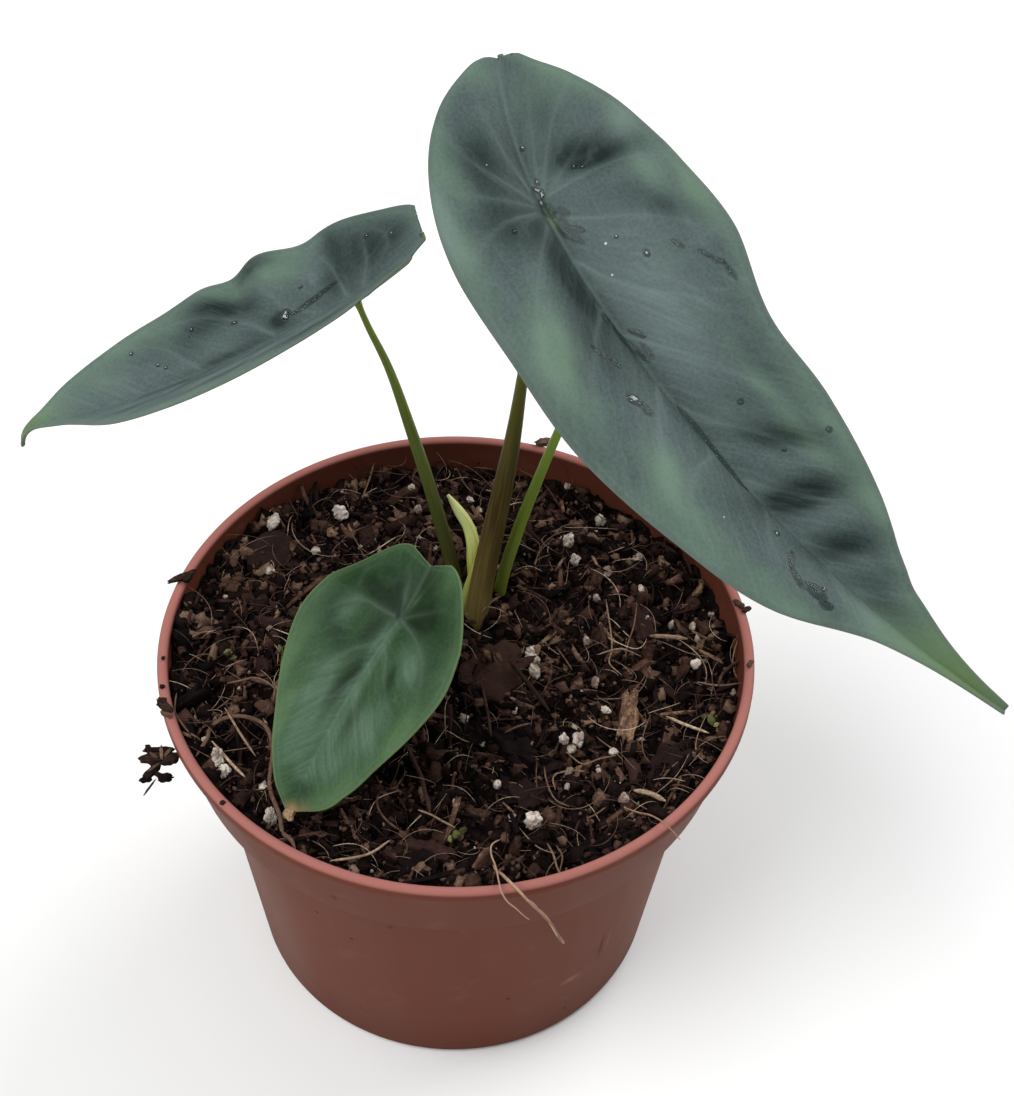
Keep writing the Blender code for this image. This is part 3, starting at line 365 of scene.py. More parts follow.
# Looks of each leaf, in millimetres on the flat leaf.
# veins: strength, then the side vein's points (u, v). flow: the slant of the side veins where
# they leave the midrib at u. Patches of tone: u, v, reach along u, reach along v, lean, weight.
# The dark patches are painted shade in the hollows and folds; on the big and left leaves the
# pale patches are partly the leaf's paler tone and mostly painted sheen, and on the small ones
# they are the leaf's own paler tone.
# water: u, v, half length, half width, turn in degrees, height.
BIG_LOOKS = {
    "veins": (
        (0.9, (-3, 2), (-3, 6), (-2.5, 12), (0, 18.5), (3, 23)),
        (0.9, (1, 1), (4, 5), (10, 14.5), (14, 19), (20, 23)),
        (0.8, (10, 0.5), (16, 3.5), (22, 8), (27, 13), (36, 16.5), (48, 17.5)),
        (0.8, (26, 0.5), (31, 4), (38, 9), (47, 13), (60, 16)),
        (0.7, (42, 0.5), (48, 4), (54, 8.5), (62, 11.5), (72, 12.5)),
        (0.7, (58, 0.5), (62, 3), (67, 7), (74, 9.8), (84, 9)),
        (0.6, (72, 0.3), (76, 2.6), (81, 5), (88, 5.5)),
        (0.4, (84, 0.2), (88, 1.8), (93, 2.6)),
        (0.8, (-4, 1.5), (-11, 5), (-18, 9), (-24, 14)),
        (0.8, (-5, 1), (-14, 3.2), (-24, 5)),
        (0.7, (-3, 2), (-8, 9), (-13, 16)),
        (0.9, (-0.5, -2), (-0.4, -8.7), (1.1, -13), (5, -18)),
        (0.8, (2, -1), (8, -6), (16, -12), (28, -17.5)),
        (0.8, (20, -0.5), (24, -5), (32, -12), (42, -17)),
        (0.8, (36, -0.5), (42, -6), (50, -12), (60, -16)),
        (0.8, (51, -0.5), (52.5, -8.7), (58, -13.2), (66, -15.5)),
        (0.7, (64, -0.5), (68, -6), (75, -10.5)),
        (0.5, (78, -0.3), (82, -3.5), (88, -6)),
        (0.8, (-3, -1.5), (-9, -6), (-16, -11), (-22, -14)),
        (0.8, (-5, -1), (-14, -3), (-24, -5)),
        (0.7, (-2, -2), (-6, -10), (-9, -16)),
    ),
    "flow": (
        (-34, -12), (-6, -7), (-4, -4.5), (-3, -1.7), (-2, -0.8), (-0.5, 0.14), (1, 0.84),
        (5, 1.2), (10, 1.43), (118, 1.5)),
    "green": (
        (-24, 8.5, 6, 5, 0, 0.7), (3, 18.5, 4.5, 2.4, 0.6, 0.9), (11, 24, 7, 2.4, 0, 0.8),
        (33, 14, 7, 2.2, 0, 0.15), (48, 13.5, 8, 2.2, 0, 0.6), (60, 13, 7, 1.8, 0, 0.6),
        (60, 17, 9, 1.6, 0, 0.6), (-28.5, -3.5, 3, 3, 0, 0.5), (-11, -13, 7, 2.6, 0, 0.6),
        (2, -17, 7, 2.5, 0, 0.6), (-5, -18.4, 5, 2.0, 0, 0.7), (-9, 18.5, 4, 2.4, 0, 0.6),
        (22, -13, 6, 4.2, -0.6, 1.1), (30, -15, 8, 3, 0, 0.5), (49, -11, 5, 3.2, -0.5, 0.9),
        (100, -1.6, 6, 2.2, 0, 0.8), (55, -14, 8, 3, 0, 0.5), (70, -12.5, 12, 2.6, 0, 0.5),
        (97, 0, 8, 5, 0, 0.5), (73, 13, 9, 2.4, 0, 0.6), (92, -3, 9, 3, 0, 0.8)),
    # Dark patches: painted shade in the hollows and folds.
    "hollow": (
        (-12.5, -8, 6, 4, 0, 0.75), (-1, -8.5, 6, 3.6, 0, 0.8), (3, -2.6, 9, 3.6, 0, 0.6),
        (15, -3, 9, 2.6, 0, 1.05), (27, -6.5, 7, 4, 0, 0.65), (61, -6, 7, 3, 0, 0.3),
        (25, -0.4, 10, 2, 0, 0.4), (-6.0, 11.5, 3.6, 7, 0.35, 1.25), (-18, 6, 8, 4.5, 0, 0.4),
        (-11, -2, 7, 5, 0, 0.4), (10, 18, 3, 5, 1.0, 0.55), (47, 16, 8, 2.0, 0, 0.35),
        (40, 1, 14, 2.6, 0, 0.3), (56, 9.5, 2.8, 5.0, 1.0, 0.9), (66.3, 5.4, 3.2, 6.4, 0.48, 1.4),
        (77.5, 4.5, 3.0, 5, 0.57, 0.95), (46, 9, 2.6, 5, 1.2, 0.35), (28, -20.5, 26, 2.4, 0, 0.35),
        (88, 2, 5, 2, 0, 0.5)),
    # Pale patches here are partly the leaf's paler tone and mostly painted sheen and highlight
    # where the slopes catch the light.
    "pale": (
        (-5, -18.4, 6, 2.2, 0, 1.2), (4, 20, 4, 2, 0, 0.7), (-9, 18.5, 4, 2.4, 0, 0.8),
        (22, 9.5, 13, 6, 0, 0.9), (61, 2, 2.6, 5, 0.5, 0.5), (35, 6, 12, 5, 0, 0.5),
        (71.5, 4, 2.4, 5, 0.5, 0.5), (88, -3, 10, 3, 0, 0.4), (44, -8, 6, 3, 0, 0.3)),
    "tip": ((109, 0, 12, 6, 0, 0.6), (1.0, 0.6, 2.0, 0.9, 0.4, 0.45)),
    "water": (
        (-6.2, 1.1, 0.7, 0.35, 0, 0.3), (-4.9, 0.5, 0.9, 0.3, 30, 0.3),
        (-3.6, 1.0, 1.0, 0.4, -20, 0.35), (-2.4, 0.2, 0.8, 0.4, 0, 0.3),
        (-0.4, 0.6, 1.8, 0.9, 20, 0.2), (1.8, 1.4, 1.8, 0.7, 30, 0.12),
        (4.6, 1.2, 1.8, 0.5, 15, 0.1), (6.6, 2.2, 1.8, 0.5, 30, 0.1),
        (5.4, 3.2, 1.6, 0.5, 42, 0.1), (1.4, 2.9, 1.2, 0.5, 25, 0.1),
        (23.4, -0.8, 2.8, 0.4, 4, 0.22), (28.6, 0.2, 3.6, 0.6, 14, 0.25),
        (26.8, 2.2, 1.6, 0.4, 30, 0.08), (30.4, 1.9, 1.7, 0.4, 0, 0.08),
        (46.0, 0.2, 5.0, 0.35, 0, 0.25), (54.5, -0.3, 5.2, 0.4, -5, 0.25),
        (27.0, -6.2, 1.8, 0.7, 20, 0.14), (29.4, -5.2, 1.4, 0.6, 10, 0.16),
        (36.6, -6.9, 1.5, 0.8, 22, 0.35), (38.9, -6.1, 1.5, 0.7, 0, 0.2),
        (72.6, -5.6, 1.8, 0.6, -60, 0.1), (75.0, -7.6, 2.0, 0.6, -20, 0.12),
        (78.8, -6.9, 2.0, 1.1, 10, 0.24), (81.4, -7.6, 1.2, 0.6, 20, 0.2),
        (79.6, -5.6, 0.4, 0.35, 0, 0.3), (22.6, 19.2, 1.6, 0.3, 25, 0.1),
        (25.0, 20.3, 1.4, 0.35, 30, 0.12), (28.0, 20.9, 2.0, 0.35, 0, 0.12),
        (18.0, 16.4, 1.5, 0.35, 20, 0.12), (16.3, 11.2, 0.7, 0.45, 0, 0.3),
        (-13.2, 1.0, 0.5, 0.35, 60, 0.3), (-5.6, 8.4, 0.35, 0.35, 0, 0.3),
        (-4.8, 9.6, 0.3, 0.3, 0, 0.3), (10.6, 8.4, 0.3, 0.25, 0, 0.3),
        (61.5, 16.4, 0.5, 0.35, 0, 0.3), (47.6, 8.6, 0.4, 0.4, 0, 0.32),
        (58.8, 9.4, 0.3, 0.25, 0, 0.3), (68.0, -3.4, 0.4, 0.4, 0, 0.32),
        (1.6, -7.6, 0.35, 0.3, 0, 0.3)),
}
LEFT_LOOKS = {
    "veins": (
        (0.8, (-3, -1), (-5, -4), (-6, -8), (-7, -13)),
        (1.0, (1, -1), (1.2, -4), (1.7, -8), (5, -16)),
        (0.8, (8, -1), (13, -5), (15, -9), (20, -16)),
        (1.0, (17, -1), (20.5, -5), (24, -8), (30, -10.5), (40, -11.5)),
        (0.8, (33, -0.8), (36, -4), (40, -8), (46, -9.5)),
        (0.6, (46, -0.5), (50, -4), (56, -6)),
        (0.8, (-3, 1), (-5, 4), (-6, 8), (-7, 13)),
        (0.9, (1, 1), (1.5, 4), (3, 9), (7, 15)),
        (0.8, (8, 1), (13, 5), (17, 9), (24, 15)),
        (0.9, (19, 1), (23, 5), (28, 9), (36, 12)),
        (0.8, (32, 0.8), (36, 4), (41, 8), (48, 10)),
        (0.6, (46, 0.5), (50, 4), (56, 6)),
        (0.5, (-10.2, -4.8), (-10.4, -7.2), (-7.2, -10.5), (-2, -12.5)),
        (0.5, (36.1, -2), (36.3, -5), (39.6, -7.8), (45, -8.4)),
    ),
    "flow": (
        (-20, -10), (-4, -4), (-2.5, -1.5), (-1.5, -0.6), (0, 0.1), (2, 0.6), (6, 1.0),
        (12, 1.3), (76, 1.4)),
    "green": (
        (12, -14, 6, 3.4, 0, 0.8), (24, -14.4, 5, 2, 0, 0.6), (42, -10, 9, 3, 0, 0.5),
        (53, -5, 6, 3, 0, 0.4), (64, -2, 6, 3, 0, 0.5), (30, 14, 16, 2, 0, 0.3)),
    "hollow": (
        (-5.5, -7, 6, 6, 0, 0.9), (0, -13, 2.2, 5, 0, 0.5), (2, -4.6, 3, 4, 0, 0.6),
        (27, -11.3, 6, 3.2, -0.3, 1.15), (31, -8, 5, 2.4, 0, 0.45), (17, -17, 5, 1.8, 0, 0.8),
        (15, -2.5, 8, 3, 0, 0.5), (14.8, -2.9, 1.7, 1.2, 0, 1.2), (20, -8.5, 3.4, 2.4, 0, 0.35),
        (27, -0.6, 8, 1.0, 0, 0.7), (33, 2.8, 4, 1.2, 0, 0.5), (42, -8, 5, 3, 0, 0.35),
        (36, -5, 4, 3, 0, 0.3), (-12, -5.5, 3, 3, 0, 0.5), (4, 15, 6, 2, 0, 0.3),
        (20, 6, 10, 1.2, 0, 0.4), (40, 3, 9, 1, 0, 0.4), (6, 12.5, 9, 1.3, 0.2, 0.6),
        (26, 11.5, 9, 1.1, 0, 0.5), (44, 7.5, 7, 0.9, 0, 0.5), (34, 6.5, 6, 0.8, 0, 0.4)),
    "pale": (
        (6, -10, 3, 5, 0, 0.5), (10, 9, 15, 4, 0, 0.6), (29, 10, 12, 4.4, 0, 0.6),
        (46, 6, 10, 4, 0, 0.6), (44, -4, 8, 4, 0, 0.4), (60, 0, 8, 4, 0, 0.5),
        (-12, 0, 4, 3, 0, 0.5)),
    "tip": ((72, 0, 7, 4, 0, 0.55),),
    "water": (
        (7.5, -3.6, 5.6, 0.5, 8, 0.2), (13.4, -3.4, 1.2, 0.8, 70, 0.3),
        (24.0, -7.5, 0.5, 0.4, 0, 0.3), (33.0, -7.5, 0.4, 0.3, 0, 0.25),
        (41.0, -4.5, 0.4, 0.3, 0, 0.3), (-6.6, -9.0, 0.3, 0.3, 0, 0.3),
        (9.0, -8.0, 0.3, 0.3, 0, 0.3), (32.5, -8.8, 0.3, 0.3, 0, 0.3),
        (46.0, -8.6, 0.35, 0.3, 0, 0.3), (39.5, -3.4, 0.3, 0.3, 0, 0.3)),
}
# The flow of the two small leaves, which have the same one
SMALL_FLOW = (
    (-15, -8), (-4, -4), (-2.5, -1.6), (-1.5, -0.7), (0, 0.1), (2, 0.6), (6, 1.0), (12, 1.15),
    (42, 1.2))
SMALL_LOOKS = {
    "edge_vein": 0.5,
    "veins": (
        (1.0, (-0.1, -1.4), (0.2, -3.8), (0.7, -8.2), (3.2, -11.2), (6.2, -12.8), (9.2, -13.6)),
        (0.9, (2.6, -0.2), (5.7, -1.2), (9.2, -4.2), (12.7, -6.2), (16.5, -7), (20, -7.5)),
        (0.8, (12.5, -0.3), (17, -2.2), (20.7, -3.2), (24.2, -4.2)),
        (1.0, (-0.2, 0.4), (0.2, 1.6), (1.5, 5.5), (4.2, 9.8), (7.7, 12.2), (10.5, 13.3)),
        (0.9, (5.5, 0.4), (7.2, 2.5), (10.5, 4.7), (13.7, 7.2), (17.7, 8.8)),
        (0.7, (14, 0.4), (19, 3.4), (25, 6.5)),
        (0.8, (-0.5, 0.2), (-4, 1.2), (-6.3, 2)),
        (0.8, (-1, -0.3), (-5, -1.8), (-8.8, -3)),
        (0.35, (-1.3, -10.5), (-5, -11.4), (-7.8, -9.2), (-8.8, -5.8), (-7.5, -4.2)),
        (0.7, (-1, 1.2), (-4, 6), (-6, 9)),
    ),
    "flow": SMALL_FLOW,
    "green": (
        (18, 13.6, 7, 1.6, 0, 0.9), (34, 8.2, 5, 1.6, 0, 1.1), (36.5, 5, 2.4, 2.4, 0, 0.8),
        (26, -9.4, 8, 1.5, 0, 1.0), (13, -14, 9, 1.8, 0, 0.9), (-9.5, 7, 4, 2.2, 0, 0.6),
        (-4, 1.2, 4, 0.9, 0.3, 0.8), (-5, -2, 4, 0.7, 0.35, 0.5)),
    "hollow": (
        (-1.9, -5.6, 2, 4.4, 0.2, 0.75), (-1.6, -0.9, 1.5, 1.5, 0, 0.5),
        (8.2, -8.6, 2.6, 4, 0.5, 0.6), (-1.6, 5, 2.4, 3.8, 0, 1.0), (10.4, 6.3, 3, 1.2, 0.4, 0.8),
        (16, -2.4, 4.4, 1.2, -0.3, 0.9), (12, -1.3, 3, 0.9, 0, 0.8), (36.2, 0.8, 1.7, 2.6, 0, 0.5),
        (-5.5, -8, 5, 6, 0, 0.35), (-8.5, 0.5, 3.4, 3.6, 0, 0.5), (-4.6, -3.4, 3, 1.6, 0.3, 0.4),
        (-5, 6, 3.6, 3.6, 0, 0.5), (-4, -2, 9, 13, 0, 0.36), (2, 12, 9, 2.4, 0.6, 0.3),
        (4, -13.5, 8, 2.2, 0, 0.35), (5, -3.4, 3.4, 1.6, -0.5, 0.7), (20, 3.2, 4, 1.1, 0.4, 0.45)),
    "pale": (
        (1.5, 0.1, 3, 1.2, 0, 1.3), (7, 0, 5, 1.4, 0, 1.4), (16, 0.3, 7, 1.4, 0, 1.5),
        (25, 0.3, 7, 1.9, 0, 1.6), (31, -0.6, 4, 1.7, 0, 1.6), (3, -9.4, 3.2, 1.8, -0.5, 1.2),
        (6.5, 8, 3.2, 3, 0.5, 1.3), (17, -6.2, 5, 2.2, -0.2, 1.4), (20.5, 7, 5, 3.4, 0, 1.3),
        (24, -4.8, 5, 2.2, 0, 1.2), (30, -4.6, 4, 2.4, 0, 1.0), (29.5, 4, 4, 2.6, 0, 1.0)),
    "tip": ((40.6, 0.4, 1.2, 1.5, 0, 1.0), (39.6, 3.0, 1.6, 1.6, 0, 0.35)),
    "water": (),
}
BACK_LOOKS = {
    "veins": (),
    "flow": SMALL_FLOW,
    "green": ((14, 9, 8, 2.6, 0, 0.6), (14, -9, 8, 2.6, 0, 0.6), (30, 0, 5, 4, 0, 0.5)),
    "hollow": ((-4, 4, 3, 3, 0, 0.5), (-4, -4, 3, 3, 0, 0.5)),
    "pale": ((12, 0, 12, 2.2, 0, 0.7), (8, 6, 4, 3, 0, 0.4), (8, -6, 4, 3, 0, 0.4)),
    "tip": ((36, 0, 2.5, 2.2, 0, 0.7),),
    "water": (),
}

# Water at least this high, in millimetres, shines like a drop; lower water is a film. It
# stands a little proud of the leaf and reaches into it, and the leaf's slope is read over a
# short step. Water of at least the film's half length has more rings and steps.
BEAD_HEIGHT = 0.28
WATER_IOR = 1.333
DROP_GRID, FILM_GRID = (5, 20), (9, 40)
FILM_HALF_LENGTH = 0.75
WATER_PROUD = 0.01
WATER_SUNK = 0.12
SLOPE_STEP = 0.15

# Withered tip of the small leaf: shift from the leaf's end, length, width, height in
# millimetres, turn in degrees, tone
DRY_TIP = (
    (0.1, -0.5, -0.3, 2.4, 1.9, 0.9, 250.0, 0.55),
    (0.3, -1.4, -0.5, 1.4, 1.1, 0.7, 290.0, 0.7),
)

# Where the back leaf's side veins leave its midrib, in millimetres from the joint, and how
# strongly every side vein bends towards the tip
BACK_VEIN_STARTS = (-3.0, -1.5, 0.5, 4.0, 9.0, 14.5, 20.0, 25.5)
FLOW_BEND = 0.009

# The leaves: key, form, looks, stalk, and the rows and columns of the blade's grid
LEAVES = (
    ("big", BIG_LEAF, BIG_LOOKS, BIG_STALK, (290, 105)),
    ("left", LEFT_LEAF, LEFT_LOOKS, LEFT_STALK, (210, 91)),
    ("small", SMALL_LEAF, SMALL_LOOKS, SMALL_STALK, (150, 91)),
    ("back", BACK_LEAF, BACK_LOOKS, BACK_STALK, (110, 61)),
)

# Colours of each stalk at its foot, in its middle and at its top
STALK_COLOURS = {
    "big": ("#66582e", "#3b2e16", "#4f5a22"),
    "left": ("#3f361a", "#454c22", "#6e8036"),
    "small": ("#43371a", "#4f5a24", "#74863a"),
    "back": ("#64692c", "#788935", "#7c9c42"),
}

# Fibres, roots and straws on the soil that can be told apart: radius in millimetres, tone,
# height over the soil in millimetres, then the points x and y. A point may have its own height.
HAND_FIBRES = (
    (0.42, 0.62, 1.0, (-49.9, -27.7), (-48.0, -24.0, 1.2), (-47.6, -20.8, 1.6), (-45.8, -19.5, 2.0),
     (-41.3, -19.1, 2.4), (-38.0, -20.0, 2.4), (-36.2, -22.6, 2.2), (-35.4, -25.3, 2.0),
     (-35.2, -29.6, 1.8), (-35.3, -33.2, 1.8), (-34.7, -36.7, 2.0), (-32.8, -41.2, 2.2),
     (-31.8, -45.3, 2.4), (-29.9, -47.9, 2.8), (-29.2, -49.6, 3.0)),
    (0.16, 0.75, 2.6, (31.0, 14.8), (31.4, 9.4), (31.6, 4.5), (31.3, -0.7), (30.7, -4.2),
     (33.2, -6.5)),
    (0.15, 0.65, 2.6, (37.5, 14.2), (36.5, 8.0), (34.7, 1.9), (34.1, -2.2)),
    (0.16, 0.80, 2.8, (28.4, -1.0), (32.7, -0.5), (37.5, 0.2)),
    (0.45, 0.78, 2.8, (39.7, 5.4), (43.3, 4.2), (47.2, 3.5)),
    (0.30, 0.92, 2.6, (41.4, -16.7), (45.6, -18.6), (49.6, -20.2)),
    (0.17, 0.70, 2.6, (21.3, -25.1), (24.7, -28.3), (27.8, -27.0), (31.0, -26.2)),
    (0.16, 0.72, 2.8, (18.9, -35.1), (18.5, -33.2), (19.0, -31.3), (20.4, -30.1), (21.7, -30.0),
     (24.6, -30.4)),
    (0.15, 0.66, 2.6, (16.9, -29.8), (17.4, -33.3), (19.0, -37.0), (21.4, -38.8)),
    (0.50, 0.86, 2.2, (34.1, -33.3), (37.1, -34.1), (40.0, -36.1)),
    (0.50, 0.18, 2.4, (10.5, -2.8), (14.4, -8.8), (18.5, -14.8)),
    (0.28, 0.40, 2.6, (4.8, -9.0), (6.0, -15.6), (6.8, -22.3)),
    (0.22, 0.62, 2.4, (9.5, -20.3), (12.1, -19.8), (14.6, -19.4)),
    (0.34, 0.45, 3.0, (52.7, -7.7), (53.6, -5.0), (55.0, -2.9), (57.7, -0.9)),
    (0.20, 0.72, 2.8, (48.3, -7.4), (52.6, -7.5), (57.3, -7.1)),
    (0.22, 0.66, 2.6, (4.8, 8.5), (6.7, 11.3), (8.8, 13.9)),
    (0.18, 0.55, 2.4, (20.1, 0.7), (21.7, -1.9), (23.2, -5.1)),
    (0.17, 0.60, 2.4, (39.6, -31.1), (41.3, -29.2), (43.0, -27.2)),
    (0.17, 0.60, 2.4, (24.7, -41.1), (26.7, -39.4), (28.5, -37.8)),
    (0.30, 0.90, 3.0, (-46.8, -25.5), (-43.0, -29.2), (-39.8, -33.6)),
    (0.24, 0.80, 3.0, (-45.1, -17.6), (-41.7, -22.9), (-38.4, -27.9)),
    (0.22, 0.66, 2.8, (-45.5, -10.3), (-43.0, -9.7), (-40.1, -9.1), (-37.6, -10.3), (-35.5, -12.0)),
    (0.20, 0.62, 2.8, (-55.0, -13.2), (-55.0, -15.7), (-54.7, -18.5), (-53.1, -21.1),
     (-51.3, -23.3), (-49.2, -24.9)),
    (0.42, 0.34, 3.0, (-9.5, -25.1), (-8.0, -28.7), (-6.6, -32.2), (-5.8, -35.7), (-5.2, -38.7),
     (-4.7, -41.4)),
    (0.20, 0.78, 2.6, (-7.0, -40.5), (-4.3, -41.6), (-2.3, -42.7), (0.0, -44.0)),
    (0.22, 0.50, 2.8, (-14.6, -37.0), (-14.7, -39.3), (-14.0, -41.5), (-12.5, -43.5),
     (-10.2, -45.3)),
    (0.26, 0.84, 3.2, (-22.7, -52.0), (-19.1, -51.3), (-15.5, -49.4), (-12.0, -47.4)),
    (0.20, 0.60, 2.6, (-18.8, 56.8), (-19.9, 50.6), (-21.3, 42.5)),
    (0.20, 0.70, 3.0, (17.0, -47.6), (18.0, -50.2), (18.9, -53.0), (21.0, -56.2)),
    (0.16, 0.62, 3.0, (18.7, -47.8), (19.7, -50.4), (19.2, -53.4)),
)

# Marks on the pot's wall: x, y, z, half width, half height in millimetres, strength, colour;
# and how deep through the wall they reach. The first two paint a dent: a pale stripe of painted
# highlight beside a dark stripe of painted shade. Then come a pale scuff and three small dark
# marks. The last two are broad pale zones of painted sheen on the left and right of the pot.
MARK_DEPTH = 6.0 * MM
POT_MARKS_AND_SHEEN = (
    (32.9, -35.0, 31.0, 0.7, 7.0, 0.3, "#8a6354"),
    (31.3, -36.4, 31.0, 0.8, 6.5, 0.85, "#33180f"),
    (25.4, -40.0, 23.2, 3.2, 1.6, 0.5, "#93705f"),
    (-22.4, -52.7, 75.1, 0.8, 1.3, 0.9, "#3c2018"),
    (-12.4, -49.0, 58.8, 0.7, 0.8, 0.9, "#41241a"),
    (-44.6, -37.2, 78.9, 0.7, 1.0, 0.95, "#24140f"),
    (-38.0, -32.0, 34.0, 14.0, 50.0, 0.12, "#85695b"),
    (42.0, -26.0, 36.0, 20.0, 60.0, 0.15, "#8a6c5d"),
)

# Two thin coir fibres and a twig over the rim: x, y, z and radius in millimetres; and the
# number of strands in the thick fibre
THIN_RIM_FIBRE = (
    (8.8, -45.3, 84.2, 0.14), (6.9, -46.9, 84.6, 0.16), (6.7, -49.6, 85.4, 0.17),
    (7.3, -52.2, 86.2, 0.17), (7.7, -55.0, 87.6, 0.17), (8.0, -58.0, 89.0, 0.16),
    (8.4, -60.0, 89.2, 0.16), (9.4, -60.9, 87.6, 0.15), (11.0, -61.1, 85.6, 0.14),
    (12.8, -61.0, 82.6, 0.12), (13.6, -60.9, 81.4, 0.10),
)
RIGHT_RIM_FIBRE = (
    (31.8, -39.0, 85.4, 0.12), (34.4, -41.7, 87.6, 0.16), (36.1, -43.0, 88.8, 0.16),
    (38.3, -44.8, 89.2, 0.15), (40.0, -46.5, 88.9, 0.13), (41.4, -48.0, 88.2, 0.08),
)
RIM_TWIG = (
    (12.2, -60.6, 88.6, 0.10), (13.6, -61.1, 87.8, 0.16), (14.6, -61.1, 86.4, 0.16),
    (15.2, -61.1, 84.8, 0.08),
)
RIM_STRANDS = 3

# Shreds of the scrap of bark: x, y, z, length, width and height in millimetres, the turn in
# degrees, and the tone
SCRAP_SHREDS = (
    (-57.1, -27.0, 83.4, 6.8, 2.0, 1.7, 186.0, 0.42),
    (-57.4, -25.3, 83.7, 5.6, 1.0, 0.9, 178.0, 0.2),
    (-59.3, -25.1, 83.6, 2.4, 0.9, 0.8, 120.0, 0.25),
    (-56.6, -26.4, 84.5, 3.2, 0.6, 0.5, 100.0, 0.85),
    (-55.3, -26.3, 84.4, 2.4, 0.7, 0.6, 60.0, 0.8),
    (-58.1, -27.0, 84.4, 2.2, 0.5, 0.5, 140.0, 0.7),
    (-54.9, -27.8, 84.0, 3.2, 1.6, 1.3, 200.0, 0.4),
    (-58.1, -30.0, 83.3, 5.0, 1.4, 1.2, 62.0, 0.28),
    (-57.7, -29.6, 84.0, 3.0, 0.5, 0.5, 50.0, 0.75),
    (-59.1, -32.0, 83.3, 2.2, 0.9, 0.8, 20.0, 0.12),
    (-56.4, -31.0, 83.3, 3.2, 0.7, 0.7, -24.0, 0.3),
    (-55.4, -31.5, 83.3, 2.6, 1.4, 1.2, 10.0, 0.08),
    (-58.1, -33.7, 83.2, 4.0, 0.32, 0.3, 68.0, 0.5),
)

# Leaf-litter scraps on the rim: x, y, z, length and width in millimetres, turn in degrees, tone
RIM_SCRAPS = (
    (-57.0, 15.5, 88.5, 6.0, 1.3, 38.0, 0.45),
    (-55.9, 15.2, 88.5, 2.6, 1.4, 70.0, 0.3),
    (-56.6, -18.2, 88.5, 4.4, 1.5, 128.0, 0.45),
    (-57.2, -17.4, 88.6, 2.2, 1.1, 60.0, 0.3),
    (-56.0, -20.2, 88.5, 2.4, 1.0, 150.0, 0.75),
    (-57.6, -13.4, 88.4, 1.0, 0.7, 20.0, 0.3),
    (-58.3, -6.1, 88.3, 0.9, 0.6, 70.0, 0.3),
    (-43.2, -40.6, 88.2, 1.0, 0.7, 40.0, 0.4),
    (58.6, -6.0, 88.3, 2.0, 0.9, 60.0, 0.7),
    (57.9, 9.6, 88.5, 2.8, 1.1, 130.0, 0.6),
    (59.4, 8.4, 88.3, 2.2, 1.0, 40.0, 0.5),
    (18.8, 57.4, 88.5, 3.8, 1.7, 20.0, 0.75),
)

# Small blocks that are strewn: smallest and largest size in millimetres, how often their sides
# are divided, roundness and raggedness
BLOCKS = {
    "crumb": ((1.5, 1.1, 0.8), (2.8, 2.1, 1.7), 1, 0.4, 0.68),
    "fine_crumb": ((1.6, 1.2, 0.9), (3.0, 2.2, 1.8), 0, 0.0, 0.68),
    "chip": ((3.6, 1.6, 0.8), (6.5, 3.4, 1.6), 2, 0.35, 0.55),
    "sliver": ((4.5, 0.45, 0.4), (9.5, 1.0, 0.7), 1, 0.3, 0.5),
    "grain": ((0.9, 0.7, 0.6), (1.7, 1.2, 1.0), 2, 0.75, 0.6),
}

# What is strewn: name, the setting with its amount, kind, where, smallest and largest scale,
# tilt in radians, lift in millimetres, and finish
STREWN = (
    ("soil_crumbs", "crumbs", "crumb", "everywhere", 0.45, 1.6, 0.8, 0.6, "damp_bark_crumbs"),
    ("soil_fines", "fines", "fine_crumb", "everywhere", 0.25, 0.6, 1.2, 1.0, "damp_bark_crumbs"),
    ("bark_chips", "chips", "chip", "clear", 0.4, 1.15, 0.8, 1.2, "split_pine_bark"),
    ("bark_slivers", "slivers", "sliver", "clear", 0.5, 1.3, 0.5, 1.4, "split_pine_bark"),
    ("coir_fibres", "fibres", "fibre", "clear", 0.5, 1.4, 0.35, 2.6, "coir_and_straw"),
    ("perlite_small", "perlite", "grain", "clear", 0.5, 1.3, 1.0, 1.0, "expanded_perlite"),
)

